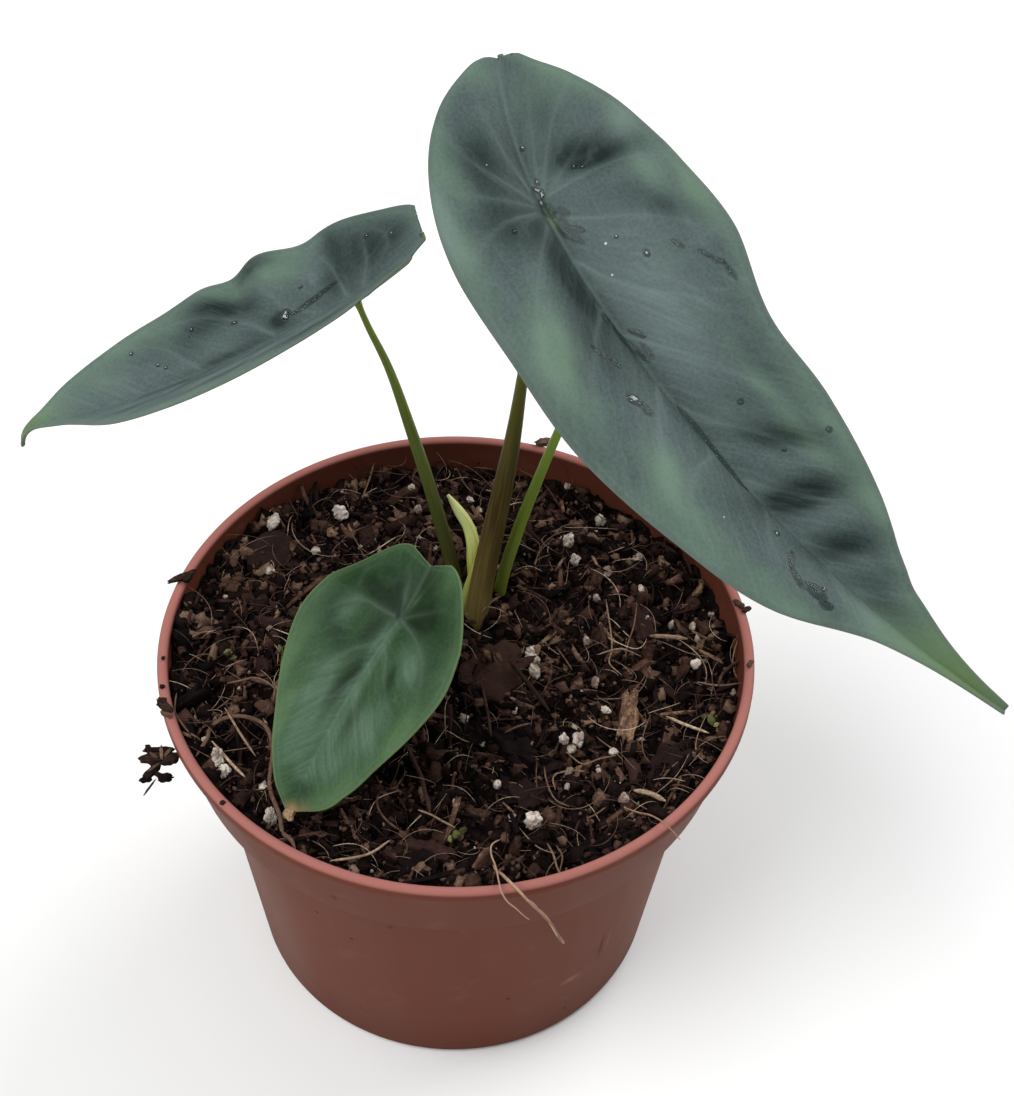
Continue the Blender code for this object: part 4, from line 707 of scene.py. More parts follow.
# Plant litter: the colours from dark to light, width of the grain in millimetres, its stretch,
# roughness, and relief in millimetres
LITTERS = {
    "damp_bark_crumbs": (
        ((0.0, "#050303"), (0.4, "#1a110e"), (0.66, "#36251e"), (0.86, "#563f34"),
         (1.0, "#77604f")), 1.1, (1.0, 1.0, 1.0), 0.8, 0.25),
    "split_pine_bark": (
        ((0.0, "#0a0707"), (0.4, "#241816"), (0.72, "#402b25"), (0.92, "#5f4539"),
         (1.0, "#8a6e57")), 1.6, (1.0, 1.0, 2.2), 0.72, 0.35),
    "coir_and_straw": (
        ((0.0, "#1d1410"), (0.4, "#3c2c24"), (0.7, "#6f5747"), (0.9, "#a08871"),
         (1.0, "#cbb59c")), 0.9, (1.0, 1.0, 1.0), 0.78, 0.12),
    "algae_on_bark": (
        ((0.0, "#35351f"), (0.6, "#666a3f"), (1.0, "#969768")), 0.6, (1.0, 1.0, 1.0), 0.85, 0.2),
    "weathered_bark": (
        ((0.0, "#0e0a09"), (0.4, "#2c1f1a"), (0.75, "#5b4539"), (1.0, "#947c69")),
        0.9, (1.0, 1.0, 1.6), 0.8, 0.3),
    "withered_leaf": (
        ((0.0, "#3a2a1c"), (0.5, "#8d7357"), (1.0, "#c4aa8c")), 0.6, (1.0, 1.0, 1.0), 0.8, 0.2),
    "dry_coir": (
        ((0.0, "#543c30"), (0.5, "#8d6f5b"), (1.0, "#bd9c84")), 0.7, (1.0, 1.0, 0.4), 0.8, 0.1),
    "root_skin": (
        ((0.0, "#6d5238"), (0.5, "#a88763"), (1.0, "#cdb48e")), 2.0, (1.0, 1.0, 0.3), 0.75, 0.2),
}
SOIL_LITTERS = ("damp_bark_crumbs", "split_pine_bark", "coir_and_straw", "algae_on_bark")


# Finishes

def linear(text):
    """Linear colour of an sRGB hex one."""
    values = [int(text[i:i + 2], 16) / 255 for i in (1, 3, 5)]
    return tuple(v / 12.92 if v <= 0.04045 else ((v + 0.055) / 1.055) ** 2.4 for v in values)


def paint(text):
    """Linear colour of an sRGB hex one, with full opacity."""
    return (*linear(text), 1.0)


def set_inputs(tree, node, inputs):
    """Set inputs of a node: each to a value, a socket, or the first output in use of a node."""
    for key, value in inputs.items():
        if isinstance(value, bpy.types.Node):
            value = next(socket for socket in value.outputs if socket.enabled)
        if isinstance(value, bpy.types.NodeSocket):
            tree.links.new(value, node.inputs[key])
        else:
            node.inputs[key].default_value = value


def add_node(tree, kind, inputs=None, **settings):
    """Add a node with its settings and inputs. The tree's own kinds are named without prefix."""
    prefix = "" if "Node" in kind else tree.bl_idname.removesuffix("Tree")
    node = tree.nodes.new(prefix + kind)
    for name, value in settings.items():
        setattr(node, name, value)
    set_inputs(tree, node, inputs or {})
    return node


def set_stops(ramp, stops):
    """Give a colour ramp its stops, each a position and an sRGB hex colour."""
    elements = ramp.color_ramp.elements
    for number, (position, colour) in enumerate((stops[0], stops[-1])):
        elements[number].position, elements[number].color = position, paint(colour)
    for position, colour in stops[1:-1]:
        elements.new(position).color = paint(colour)


def new_finish(name):
    """A material, what adds a node to it, and what sets its shader's inputs."""
    finish = bpy.data.materials.new(name)
    finish.use_nodes = True
    tree = finish.node_tree
    shader = tree.nodes["Principled BSDF"]
    return finish, partial(add_node, tree), partial(set_inputs, tree, shader)


def per_metre(size_mm):
    """Scale of a texture whose features are this many millimetres wide."""
    return 1.0 / (size_mm * MM)


def moulded_polypropylene(looks):
    """Satin polypropylene, injection moulded: a soft highlight, faint flow marks, dust, a lip
    painted paler for wear and as painted highlight, painted shade towards the bottom and at the
    collar's foot, marks of which some are painted light, and specks of soil under it."""
    finish, add, dress = new_finish("moulded_polypropylene")
    place = add("TexCoord").outputs["Object"]
    height = add("SeparateXYZ", {0: place}).outputs["Z"]
    tall = add("Mapping", {"Vector": place, "Scale": (1.0, 1.0, 0.25)})
    flow, grain, smear = [
        add("TexNoise", {
            "Vector": where, "Scale": per_metre(width), "Detail": detail, "Roughness": rough})
        for where, width, detail, rough in (
            (tall, 22, 4.0, 0.5), (place, 0.7, 2.0, 0.5), (place, 9, 6.0, 0.7))]
    body = add("Mix", {
        0: flow, 6: (*[0.86 * c for c in looks.colour], 1.0), 7: (*looks.colour, 1.0)},
        data_type="RGBA")
    # Painted shade by height: the colour is darker towards the bottom, and darker again at the foot
    # of the collar, fading out towards the lip.
    rise = add("MapRange", {"Value": height, "From Max": POT_HEIGHT})
    painted_shade_by_height = add("ValToRGB", {"Fac": rise})
    stops = painted_shade_by_height.color_ramp.elements
    stops[0].color, stops[1].position = (0.84, 0.77, 0.72, 1.0), 1.0 - LIP_HEIGHT / POT_HEIGHT
    foot = 1.0 - COLLAR_HEIGHT / POT_HEIGHT
    for position, shade in ((0.2, 1.0), (foot - 0.004, 1.0), (foot + 0.004, 0.91)):
        stops.new(position).color = (shade, shade, shade, 1.0)
    colour = add("Mix", {0: 1.0, 6: body, 7: painted_shade_by_height}, data_type="RGBA", blend_type="MULTIPLY")
    # The lip is painted paler: worn plastic, and painted highlight where the light from above falls
    # on it.
    lip = add("MapRange", {
        "Value": height, "From Min": POT_HEIGHT - 0.42 * LIP_HEIGHT,
        "From Max": POT_HEIGHT - 0.1 * LIP_HEIGHT}, interpolation_type="SMOOTHSTEP")
    specks = add("TexVoronoi", {"Vector": place, "Scale": per_metre(6.5)})
    dot = add("MapRange", {"Value": specks, "From Min": 0.075, "From Max": 0.05})
    draw = add("SeparateColor", {0: specks.outputs["Color"]})
    kept = add("Math", {0: draw, 1: 0.66}, operation="GREATER_THAN")
    dirt = add("Math", {0: dot, 1: kept}, operation="MULTIPLY")
    dust = add("MapRange", {"Value": smear, "From Min": 0.56, "From Max": 0.8, "To Max": 0.24})
    layers = [(lip, (*looks.lip_wear_and_highlight_colour, 1.0)), (dust, paint("#8d6a5c")), (dirt, paint("#2a1a14"))]
    # Of these marks, the dent's stripes and the two broad pale zones are painted light: highlight,
    # shade and sheen.
    for x, y, z, half_wide, half_tall, strength, tone in POT_MARKS_AND_SHEEN:
        near = add("Mapping", {
            "Vector": place, "Location": (x * MM, y * MM, z * MM),
            "Rotation": (0.0, 0.0, math.atan2(x, -y)),
            "Scale": (half_wide * MM, MARK_DEPTH, half_tall * MM)}, vector_type="TEXTURE")
        far = add("VectorMath", {0: near}, operation="LENGTH")
        broken = add("Math", {0: smear, 1: 1.6, 2: far}, operation="MULTIPLY_ADD")
        amount = add("MapRange", {
            "Value": broken, "From Min": 1.85, "From Max": 1.0, "To Max": strength})
        layers.append((amount, paint(tone)))
    for amount, tone in layers:
        colour = add("Mix", {0: amount, 6: colour, 7: tone}, data_type="RGBA")
    gloss = add("MapRange", {
        "Value": flow, "From Min": 0.3, "From Max": 0.7,
        "To Min": looks.roughness - 0.05, "To Max": looks.roughness + 0.09})
    bump = add("Bump", {"Height": grain, "Strength": 0.25, "Distance": 0.05 * MM})
    dress({
        "Base Color": colour, "Roughness": gloss, "Normal": bump, "IOR": 1.49,
        "Specular IOR Level": 0.03})
    return finish


def leaf_skin(name, colours, specks, marking, mist):
    """Waxy leaf: slate or green with cloudy paler green, painted shade in the hollows, pale
    patches that are partly the leaf's paler tone and partly painted sheen, pale side veins with
    fine streaks between them, a thin brown rim and a dull underside. Specks are grains of dust
    and painted glints of tiny drops; marking is how plainly the veins show, and mist how much of
    the wax's pale bloom."""
    finish, add, dress = new_finish(name)
    flat, flow = [add("UVMap", uv_map=key) for key in ("flat", "flow")]
    green, hollow, pale, vein, tip, rim, wet, upper = [
        add("Attribute", attribute_name=key).outputs["Fac"]
        for key in ("green", "hollow", "pale", "vein", "tip", "rim", "wet", "upper")]
    cloud, drift, mottle, ragged = [
        add("TexNoise", {
            "Vector": flat, "Scale": per_metre(width), "Detail": detail, "Roughness": rough})
        for width, detail, rough in (
            (9, 4.0, 0.6), (7, 2.0, 0.5), (0.65, 3.0, 0.7), (1.6, 3.0, 0.5))]
    swayed = add("VectorMath", {
        0: drift.outputs["Color"], 1: (3.0 * MM, 3.0 * MM, 0.0), 2: flow},
        operation="MULTIPLY_ADD")
    long = add("Mapping", {"Vector": swayed, "Scale": (1.0, 0.2, 1.0)})
    streak, swell = [
        add("TexNoise", {
            "Vector": long, "Scale": per_metre(width), "Detail": detail, "Roughness": rough})
        for width, detail, rough in ((1.4, 3.0, 0.65), (7, 1.0, 0.5))]
    net, cells, spots = [
        add("TexVoronoi", {"Vector": where, "Scale": per_metre(width)}, feature=feature)
        for where, width, feature in (
            (swayed, 2.6, "DISTANCE_TO_EDGE"), (flat, 0.8, "SMOOTH_F1"), (flat, 5.5, "F1"))]
    folds = add("Math", {0: swell, 1: 9.0, 2: streak}, operation="MULTIPLY_ADD")
    fold = add("Math", {0: folds, 1: 0.5}, operation="PINGPONG")
    soaked = add("Math", {0: ragged, 1: 0.7, 2: wet}, operation="MULTIPLY_ADD")
    streaks, netting, bloom, uneven, grainy, wavy, dot, wetness, gloss = [
        add("MapRange", {
            "Value": source, "From Min": start, "From Max": end, "To Min": low, "To Max": high})
        for source, start, end, low, high in (
            (streak, 0.5, 0.7, 0.0, 0.9 * marking), (net, 0.05, 0.0, 0.0, 0.4 * marking),
            (mottle, 0.42, 0.7, 0.0, mist), (streak, 0.35, 0.65, 1.08, 0.82),
            (mottle, 0.5, 0.3, 0.0, 0.12), (fold, 0.06, 0.0, 0.0, 0.3 * mist),
            (spots, 0.055, 0.03, 0.0, 1.0), (soaked, 0.82, 0.90, 0.0, 1.0),
            (cloud, 0.3, 0.7, 0.40, 0.52))]
    strewn = add("Math", {0: cloud, 1: 0.9, 2: -0.45}, operation="MULTIPLY_ADD")
    greenness = add("Math", {0: green, 1: strewn}, operation="ADD", use_clamp=True)
    # Pale patches: the leaf's paler tone, and on the large leaves mostly painted sheen.
    pale_tone_and_sheen = add("Math", {0: pale, 1: streak}, operation="MULTIPLY", use_clamp=True)
    # Painted shade: the dark patches, broken by the streaks and a fine mottle, pull the colour
    # towards the shade colour.
    depth = add("Math", {0: hollow, 1: uneven}, operation="MULTIPLY", use_clamp=True)
    shade_and_mottle = add("Math", {0: depth, 1: grainy}, operation="ADD", use_clamp=True)
    sunken = add("Math", {0: depth, 1: 0.8, 2: 0.15}, operation="MULTIPLY_ADD", use_clamp=True)
    # Specks: grains of dust, and painted glints of tiny drops.
    draw = add("SeparateColor", {0: spots.outputs["Color"]})
    kept = add("Math", {0: draw, 1: 1.0 - specks}, operation="GREATER_THAN")
    waving, veins, speck, darkness = [
        add("Math", {0: first, 1: second}, operation="MULTIPLY")
        for first, second in ((wavy, sunken), (vein, marking), (dot, kept), (wetness, 0.42))]
    colour = colours["body"]
    for amount, key in (
            (greenness, "green"), (pale_tone_and_sheen, "pale"), (streaks, "pale"), (netting, "pale"),
            (bloom, "pale"), (shade_and_mottle, "hollow"), (waving, "vein"), (veins, "vein"), (tip, "tip"),
            (rim, "rim"), (speck, "speck"), (darkness, "wet")):
        colour = add("Mix", {0: amount, 6: colour, 7: colours[key]}, data_type="RGBA")
    below = add("Mix", {
        0: veins, 6: colours["under"], 7: colours["under_vein"]}, data_type="RGBA")
    faces = add("Mix", {0: upper, 6: below, 7: colour}, data_type="RGBA")
    slick = add("Mix", {0: wetness, 2: gloss, 3: 0.16}, data_type="FLOAT")
    grain = add("Math", {0: streak, 1: 0.8, 2: cells}, operation="MULTIPLY_ADD")
    bump = add("Bump", {"Height": grain, "Strength": 0.5, "Distance": 0.06 * MM})
    dress({
        "Base Color": faces, "Roughness": slick, "Normal": bump, "IOR": 1.45,
        "Specular IOR Level": 0.13, "Specular Tint": paint("#dcecf0")})
    return finish


def stalk_skin(name, foot, middle, top):
    """Smooth waxy stalk: brownish at the foot and greener above, with fine lengthwise lines."""
    finish, add, dress = new_finish(name)
    share, around, along = [
        add("Attribute", attribute_name=key).outputs["Fac"]
        for key in ("share", "around", "along")]
    spread = add("CombineXYZ", {"X": around, "Y": along})
    lines = add("Mapping", {"Vector": spread, "Scale": (26.0, per_metre(14), 1.0)})
    line = add("TexNoise", {"Vector": lines, "Scale": 1.0, "Detail": 3.0})
    moved = add("Math", {0: line, 1: 0.22, 2: share}, operation="MULTIPLY_ADD")
    ramp = add("ValToRGB", {"Fac": moved})
    set_stops(ramp, ((0.1, foot), (0.45, middle), (1.0, top)))
    shade = add("MapRange", {"Value": line, "From Min": 0.55, "From Max": 0.35, "To Max": 0.35})
    lined = add("Mix", {0: shade, 6: ramp, 7: paint(foot)}, data_type="RGBA")
    bump = add("Bump", {"Height": line, "Strength": 0.4, "Distance": 0.08 * MM})
    dress({
        "Base Color": lined, "Roughness": 0.42, "IOR": 1.45, "Specular IOR Level": 0.12,
        "Normal": bump})
    return finish


def litter_finish(name):
    """Dry or damp plant litter. Each crumb, chip or fibre takes its own colour from its tone,
    and a broken grain that runs along it keeps it from looking moulded."""
    stops, grain_mm, stretch, roughness, relief_mm = LITTERS[name]
    finish, add, dress = new_finish(name)
    place = add("TexCoord").outputs["Object"]
    tone = add("Attribute", attribute_name="tone").outputs["Fac"]
    long = add("Mapping", {"Vector": place, "Scale": stretch})
    grain = add("TexNoise", {
        "Vector": long, "Scale": per_metre(grain_mm), "Detail": 5.0, "Roughness": 0.7})
    moved = add("Math", {0: grain, 1: 0.7, 2: -0.35}, operation="MULTIPLY_ADD")
    summed = add("Math", {0: tone, 1: moved}, operation="ADD", use_clamp=True)
    ramp = add("ValToRGB", {"Fac": summed})
    set_stops(ramp, stops)
    gloss = add("MapRange", {
        "Value": grain, "From Min": 0.3, "From Max": 0.7, "To Min": roughness - 0.15,
        "To Max": roughness + 0.1})
    bump = add("Bump", {"Height": grain, "Strength": 0.9, "Distance": relief_mm * MM})
    dress({"Base Color": ramp, "Roughness": gloss, "Normal": bump, "Specular IOR Level": 0.05})
    return finish


def expanded_perlite():
    """Expanded volcanic glass: chalky white, pitted all over with painted shade in the pits,
    stained by the soil round it, and the more so the higher the grain's tone."""
    finish, add, dress = new_finish("expanded_perlite")
    place = add("TexCoord").outputs["Object"]
    tone = add("Attribute", attribute_name="tone").outputs["Fac"]
    pits = add("TexVoronoi", {"Vector": place, "Scale": per_metre(0.45)})
    stain = add("TexNoise", {"Vector": place, "Scale": per_metre(2.2), "Detail": 4.0})
    soiled = add("Math", {0: tone, 1: 0.22, 2: stain}, operation="MULTIPLY_ADD")
    amount = add("MapRange", {
        "Value": soiled, "From Min": 0.45, "From Max": 0.72, "To Max": 0.85})
    # Painted shade: the pits are painted darker.
    pit = add("MapRange", {"Value": pits, "From Min": 0.35, "From Max": 0.1, "To Max": 0.5})
    stained = add("Mix", {0: amount, 6: paint("#d6cabd"), 7: paint("#5f4636")}, data_type="RGBA")
    pitted = add("Mix", {0: pit, 6: stained, 7: paint("#7b675a")}, data_type="RGBA")
    bump = add("Bump", {"Height": pits, "Strength": 0.8, "Distance": 0.2 * MM})
    dress({"Base Color": pitted, "Roughness": 0.9, "Normal": bump, "Specular IOR Level": 0.1})
    return finish


def still_water(name, cover, shine):
    """Water that stands on the waxy leaf: it deepens the colour under it by its cover, and
    catches the lights by its shine."""
    finish, add, dress = new_finish(name)
    place = add("TexCoord").outputs["Object"]
    ripple = add("TexNoise", {"Vector": place, "Scale": per_metre(1.3), "Detail": 2.0})
    bump = add("Bump", {"Height": ripple, "Strength": 0.5, "Distance": 0.25 * MM})
    dress({
        "Base Color": paint("#1f2b28"), "Roughness": 0.04, "IOR": WATER_IOR,
        "Specular IOR Level": shine, "Coat Weight": shine, "Coat Roughness": 0.03,
        "Coat IOR": WATER_IOR + 0.8 * shine, "Alpha": cover, "Normal": bump})
    return finish


def matt_floor(looks):
    """Matt painted board, with a grain so faint that it only keeps the floor from looking
    empty."""
    finish, add, dress = new_finish("matt_floor")
    place = add("TexCoord").outputs["Object"]
    grain = add("TexNoise", {"Vector": place, "Scale": per_metre(60), "Detail": 3.0})
    tint = add("Mix", {
        0: grain, 6: (*[0.985 * c for c in looks.floor_colour], 1.0),
        7: (*looks.floor_colour, 1.0)}, data_type="RGBA")
    dress({"Base Color": tint, "Roughness": 0.9})
    return finish


# Pieces

def plain_mesh(obj):
    """The object's evaluated mesh, with its modifiers applied."""
    graph = bpy.context.evaluated_depsgraph_get()
    graph.update()
    return bpy.data.meshes.new_from_object(obj.evaluated_get(graph))


def add_object(name, data):
    """Put a mesh, camera or light in the scene."""
    obj = bpy.data.objects.new(name, data)
    bpy.context.scene.collection.objects.link(obj)
    return obj


def remove_group(group):
    """Remove a collection with its objects."""
    for obj in list(group.objects):
        bpy.data.objects.remove(obj)
    bpy.data.collections.remove(group)


def keep(name, mesh, finish, nodes=()):
    """Put a finished mesh in the scene as a smooth piece that rides on the pot."""
    if not mesh.materials:
        mesh.materials.append(finish)
    mesh.shade_smooth()
    piece = add_object(name, mesh)
    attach(piece, "root")
    if nodes:
        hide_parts(*nodes)
    return piece


def set_values(mesh, name, values):
    """Store one number for each vertex."""
    layer = mesh.attributes.new(name, "FLOAT", "POINT")
    layer.data.foreach_set("value", np.ascontiguousarray(values, dtype=np.float32))


def set_uv(mesh, name, uv):
    """Store a UV map from one pair for each vertex."""
    corner = np.empty(len(mesh.loops), dtype=np.int32)
    mesh.loops.foreach_get("vertex_index", corner)
    layer = mesh.uv_layers.new(name=name)
    layer.uv.foreach_set("vector", np.ascontiguousarray(uv[corner], dtype=np.float32).ravel())


def mesh_from(name, verts, faces):
    """Mesh from arrays of places and corner indices."""
    mesh = bpy.data.meshes.new(name)
    mesh.from_pydata([tuple(v) for v in verts], [], [tuple(int(i) for i in f) for f in faces])
    mesh.validate()
    return mesh


def mesh_of(name, shape):
    """Mesh from a working shape, which is freed."""
    mesh = bpy.data.meshes.new(name)
    shape.to_mesh(mesh)
    shape.free()
    return mesh


def ringed(index):
    """Faces of a surface of rings round corner 0, and the corners of its edge in pairs."""
    after = np.roll(index, -1, 1)
    faces = list(np.stack([index[:-1], index[1:], after[1:], after[:-1]], 2).reshape(-1, 4))
    faces += [(0, a, b) for a, b in zip(index[0], after[0])]
    return faces, list(zip(index[-1], after[-1]))


def face_outwards(mesh):
    """Turn the faces of a closed mesh outwards."""
    shape = bmesh.new()
    shape.from_mesh(mesh)
    bmesh.ops.recalc_face_normals(shape, faces=shape.faces)
    shape.to_mesh(mesh)
    shape.free()


def unit(vectors):
    """The vectors at length one."""
    return vectors / np.maximum(np.linalg.norm(vectors, axis=-1, keepdims=True), 1e-12)


def roughness_at(places, size, seed):
    """Soft noise from -1 to 1 at each place; size is the width of its lumps."""
    shift = Vector((seed * 7.1, seed * 3.7, seed * 1.9))
    return np.array([noise.noise(Vector(p) / size + shift) for p in places])


def new_tree(name, inputs, output):
    """Node group with named inputs, what adds a node to it, and its inputs' sockets."""
    tree = bpy.data.node_groups.new(name, "GeometryNodeTree")
    for key, kind in inputs.items():
        tree.interface.new_socket(key, in_out="INPUT", socket_type="NodeSocket" + kind)
    tree.interface.new_socket(output, in_out="OUTPUT", socket_type="NodeSocketGeometry")
    return tree, partial(add_node, tree), add_node(tree, "NodeGroupInput").outputs


def end_tree(add, shape, finish):
    """Last nodes of a group: its instances made real, and their material."""
    real = add("RealizeInstances", {0: shape})
    done = add("SetMaterial", {"Geometry": real, "Material": finish})
    add("NodeGroupOutput", {0: done})


def grown(name, mesh, tree, values):
    """Run a geometry node tree on a mesh and return the plain mesh that it makes."""
    host = add_object(name + "_guide", mesh)
    modifier = host.modifiers.new("Grow", "NODES")
    modifier.node_group = tree
    for item in tree.interface.items_tree:
        if item.name in values:
            modifier[item.identifier] = values[item.name]
    made = plain_mesh(host)
    bpy.data.objects.remove(host)
    made.name = name
    return made


def rod_tree():
    """Node group that turns every path of a mesh into a round rod of its own girth."""
    tree, add, given = new_tree(
        "Rods along paths", {"Paths": "Geometry", "Sides": "Int", "Finish": "Material"}, "Rods")
    path = add("MeshToCurve", {0: given["Paths"]})
    where, turn = add("SplineParameter"), add("SplineParameter")
    for key, output in (("along", "Length"), ("share", "Factor")):
        path = add("StoreNamedAttribute", {
            "Geometry": path, "Name": key, "Value": where.outputs[output]},
            data_type="FLOAT", domain="POINT")
    ring = add("CurvePrimitiveCircle", {"Resolution": given["Sides"], "Radius": 1.0})
    around = add("StoreNamedAttribute", {
        "Geometry": ring, "Name": "around", "Value": turn.outputs["Factor"]},
        data_type="FLOAT", domain="POINT")
    girth = add("InputNamedAttribute", {"Name": "girth"}, data_type="FLOAT")
    skin = add("CurveToMesh", {
        "Curve": path, "Profile Curve": around, "Scale": girth, "Fill Caps": True})
    end_tree(add, skin, given["Finish"])
    return tree


def rods(name, paths, sides, finish):
    """Rods along paths; a path is rows of x, y, z, radius and tone, in metres."""
    verts, edges, girths, tones = [], [], [], []
    for path in paths:
        first = len(verts)
        for x, y, z, radius, tone in path:
            verts.append((x, y, z))
            girths.append(radius)
            tones.append(tone)
        edges += [(i, i + 1) for i in range(first, len(verts) - 1)]
    mesh = bpy.data.meshes.new(name + "_paths")
    mesh.from_pydata(verts, edges, [])
    set_values(mesh, "girth", girths)
    set_values(mesh, "tone", tones)
    tree = bpy.data.node_groups.get("Rods along paths") or rod_tree()
    return grown(name, mesh, tree, {"Sides": sides, "Finish": finish})


def scatter_tree():
    """Node group that strews the pieces of a collection over a surface."""
    tree, add, given = new_tree("Strew over soil", {
        "Surface": "Geometry", "Where": "String", "Per square metre": "Float",
        "Smallest": "Float", "Largest": "Float", "Tilt": "Float", "Lift": "Float",
        "Seed": "Int", "Pieces": "Collection", "Finish": "Material"}, "Strewn")
    share = add("InputNamedAttribute", {"Name": given["Where"]}, data_type="FLOAT")
    density = add("ShaderNodeMath", {
        0: share, 1: given["Per square metre"]}, operation="MULTIPLY")
    points = add("DistributePointsOnFaces", {
        "Mesh": given["Surface"], "Density": density, "Seed": given["Seed"]})
    lift, size, tone = [
        add("FunctionNodeRandomValue", {2: 0.0, 3: most, "Seed": seed}, data_type="FLOAT")
        for most, seed in ((given["Lift"], 3), (1.0, 7), (1.0, 13))]
    rise = add("ShaderNodeCombineXYZ", {"Z": lift})
    raised = add("SetPosition", {"Geometry": points, "Offset": rise})
    tilt = given["Tilt"]
    back = add("ShaderNodeMath", {0: tilt, 1: -1.0}, operation="MULTIPLY")
    lowest = add("ShaderNodeCombineXYZ", {"X": back, "Y": back, "Z": -math.pi})
    highest = add("ShaderNodeCombineXYZ", {"X": tilt, "Y": tilt, "Z": math.pi})
    turn = add("FunctionNodeRandomValue", {
        0: lowest, 1: highest, "Seed": 5}, data_type="FLOAT_VECTOR")
    spin = add("FunctionNodeEulerToRotation", {0: turn})
    facing = add("FunctionNodeRotateRotation", {
        0: points.outputs["Rotation"], 1: spin}, rotation_space="LOCAL")
    skewed = add("ShaderNodeMath", {0: size, 1: 2.0}, operation="POWER")
    scale = add("ShaderNodeMapRange", {
        "Value": skewed, "To Min": given["Smallest"], "To Max": given["Largest"]})
    shapes = add("CollectionInfo", {
        "Collection": given["Pieces"], "Separate Children": True, "Reset Children": True})
    which = add("FunctionNodeRandomValue", {4: 0, 5: 1000, "Seed": 9}, data_type="INT")
    placed = add("InstanceOnPoints", {
        "Points": raised, "Instance": shapes, "Pick Instance": True, "Instance Index": which,
        "Rotation": facing, "Scale": scale})
    toned = add("StoreNamedAttribute", {
        "Geometry": placed, "Name": "tone", "Value": tone}, data_type="FLOAT", domain="INSTANCE")
    end_tree(add, toned, given["Finish"])
    return tree


# Forms that the solids share

def arc(centre_x, centre_z, radius, start, end, steps):
    """Points of an arc in the XZ plane, angles in degrees."""
    turns = [math.radians(start + (end - start) * i / steps) for i in range(steps + 1)]
    return [(centre_x + radius * math.cos(a), centre_z + radius * math.sin(a)) for a in turns]


def collar_inner_radius(z):
    """Inner radius of the collar at a height."""
    share = (POT_HEIGHT - z) / COLLAR_HEIGHT
    return RIM_RADIUS + (COLLAR_FOOT_RADIUS - RIM_RADIUS) * share - POT_WALL


def body_inner_radius(z):
    """Inner radius of the body below the collar at a height."""
    share = z / (POT_HEIGHT - COLLAR_HEIGHT)
    return BASE_RADIUS + (BODY_TOP_RADIUS - BASE_RADIUS) * share - POT_WALL


def soil_height(x, y):
    """Height of the soil's surface, with its lumps."""
    radius = math.hypot(x, y)
    crown = math.hypot(x - CROWN_X, y - CROWN_Y)
    height = SOIL_LEVEL + SOIL_SLOPE_X * x + SOIL_SLOPE_Y * y
    height += SOIL_MOUND_HEIGHT * math.exp(-((crown / SOIL_MOUND_RADIUS) ** 2))
    place = Vector((x, y, 0.0)) / SOIL_LUMP_SIZE
    lumps = noise.noise(place) + 0.6 * noise.noise(place * 2.3 + Vector((5.0, 2.0, 1.0)))
    calm = 1.0 - 0.75 * math.exp(-((crown / (1.1 * CROWN_RADIUS)) ** 2))
    edge = min(1.0, max(0.25, (RIM_RADIUS - radius) / (8 * MM)))
    return height + SOIL_LUMP_HEIGHT * lumps * calm * edge


def spline(x, xs, ys):
    """Smooth curve through (xs, ys), read at x."""
    xs = np.asarray(xs, dtype=float)
    ys = np.asarray(ys, dtype=float)
    slopes = np.gradient(ys, xs)
    i = np.clip(np.searchsorted(xs, x) - 1, 0, len(xs) - 2)
    width = xs[i + 1] - xs[i]
    t = (x - xs[i]) / width
    rise = (2 * t ** 3 - 3 * t ** 2 + 1) * ys[i] + (3 * t ** 2 - 2 * t ** 3) * ys[i + 1]
    lean = (t ** 3 - 2 * t ** 2 + t) * slopes[i] + (t ** 3 - t ** 2) * slopes[i + 1]
    return rise + lean * width


def smooth_path(points, step_count):
    """Rows of a smooth curve through the given ones, at even steps of its length. Place comes
    first in a row, and whatever follows it is smoothed as well."""
    given = np.array(points, dtype=float)
    run = np.linalg.norm(np.diff(given[:, :3], axis=0), axis=1)
    along = np.concatenate([[0.0], np.cumsum(run)])
    wanted = np.linspace(0.0, along[-1], step_count)
    return np.stack([spline(wanted, along, column) for column in given.T], 1)


def midrib_directions(leaf, u):
    """Unit vectors along the midrib, to the left of it and out of the upper face, at each u."""
    ahead = np.clip(u / leaf["front"], 0.0, 1.0)
    behind = np.clip(-u / leaf["rear"], 0.0, 1.0)
    drooping = np.clip((ahead - DROOP_START) / (1.0 - DROOP_START), 0.0, 1.0)

    def angle(name):
        at_joint, to_tip, to_rear = leaf[name]
        return at_joint + to_tip * ahead + to_rear * behind

    heading = np.radians(angle("heading"))
    pitch = np.radians(angle("pitch") + leaf["tip_droop"] * drooping)
    roll = np.radians(angle("roll"))[:, None]
    along = np.stack(
        [np.cos(pitch) * np.cos(heading), np.cos(pitch) * np.sin(heading), np.sin(pitch)], 1)
    level = np.stack([-np.sin(heading), np.cos(heading), 0 * heading], 1)
    left = level * np.cos(roll) + np.cross(along, level) * np.sin(roll)
    return along, left, np.cross(along, left)


def midrib(leaf):
    """The midrib as a fine polyline from the rear end to the tip, with its directions."""
    pieces = []
    for end in (-leaf["rear"], leaf["front"]):
        u = np.linspace(0.0, end, MIDRIB_POINTS)
        along, left, up = midrib_directions(leaf, u)
        steps = 0.5 * (along[1:] + along[:-1]) * np.diff(u)[:, None]
        place = np.vstack([np.zeros(3), np.cumsum(steps, 0)]) + np.array(leaf["joint"])
        pieces.append((u, place, left, up))
    return tuple(
        np.concatenate([rear[::-1], front[1:]]) for rear, front in zip(pieces[0], pieces[1]))


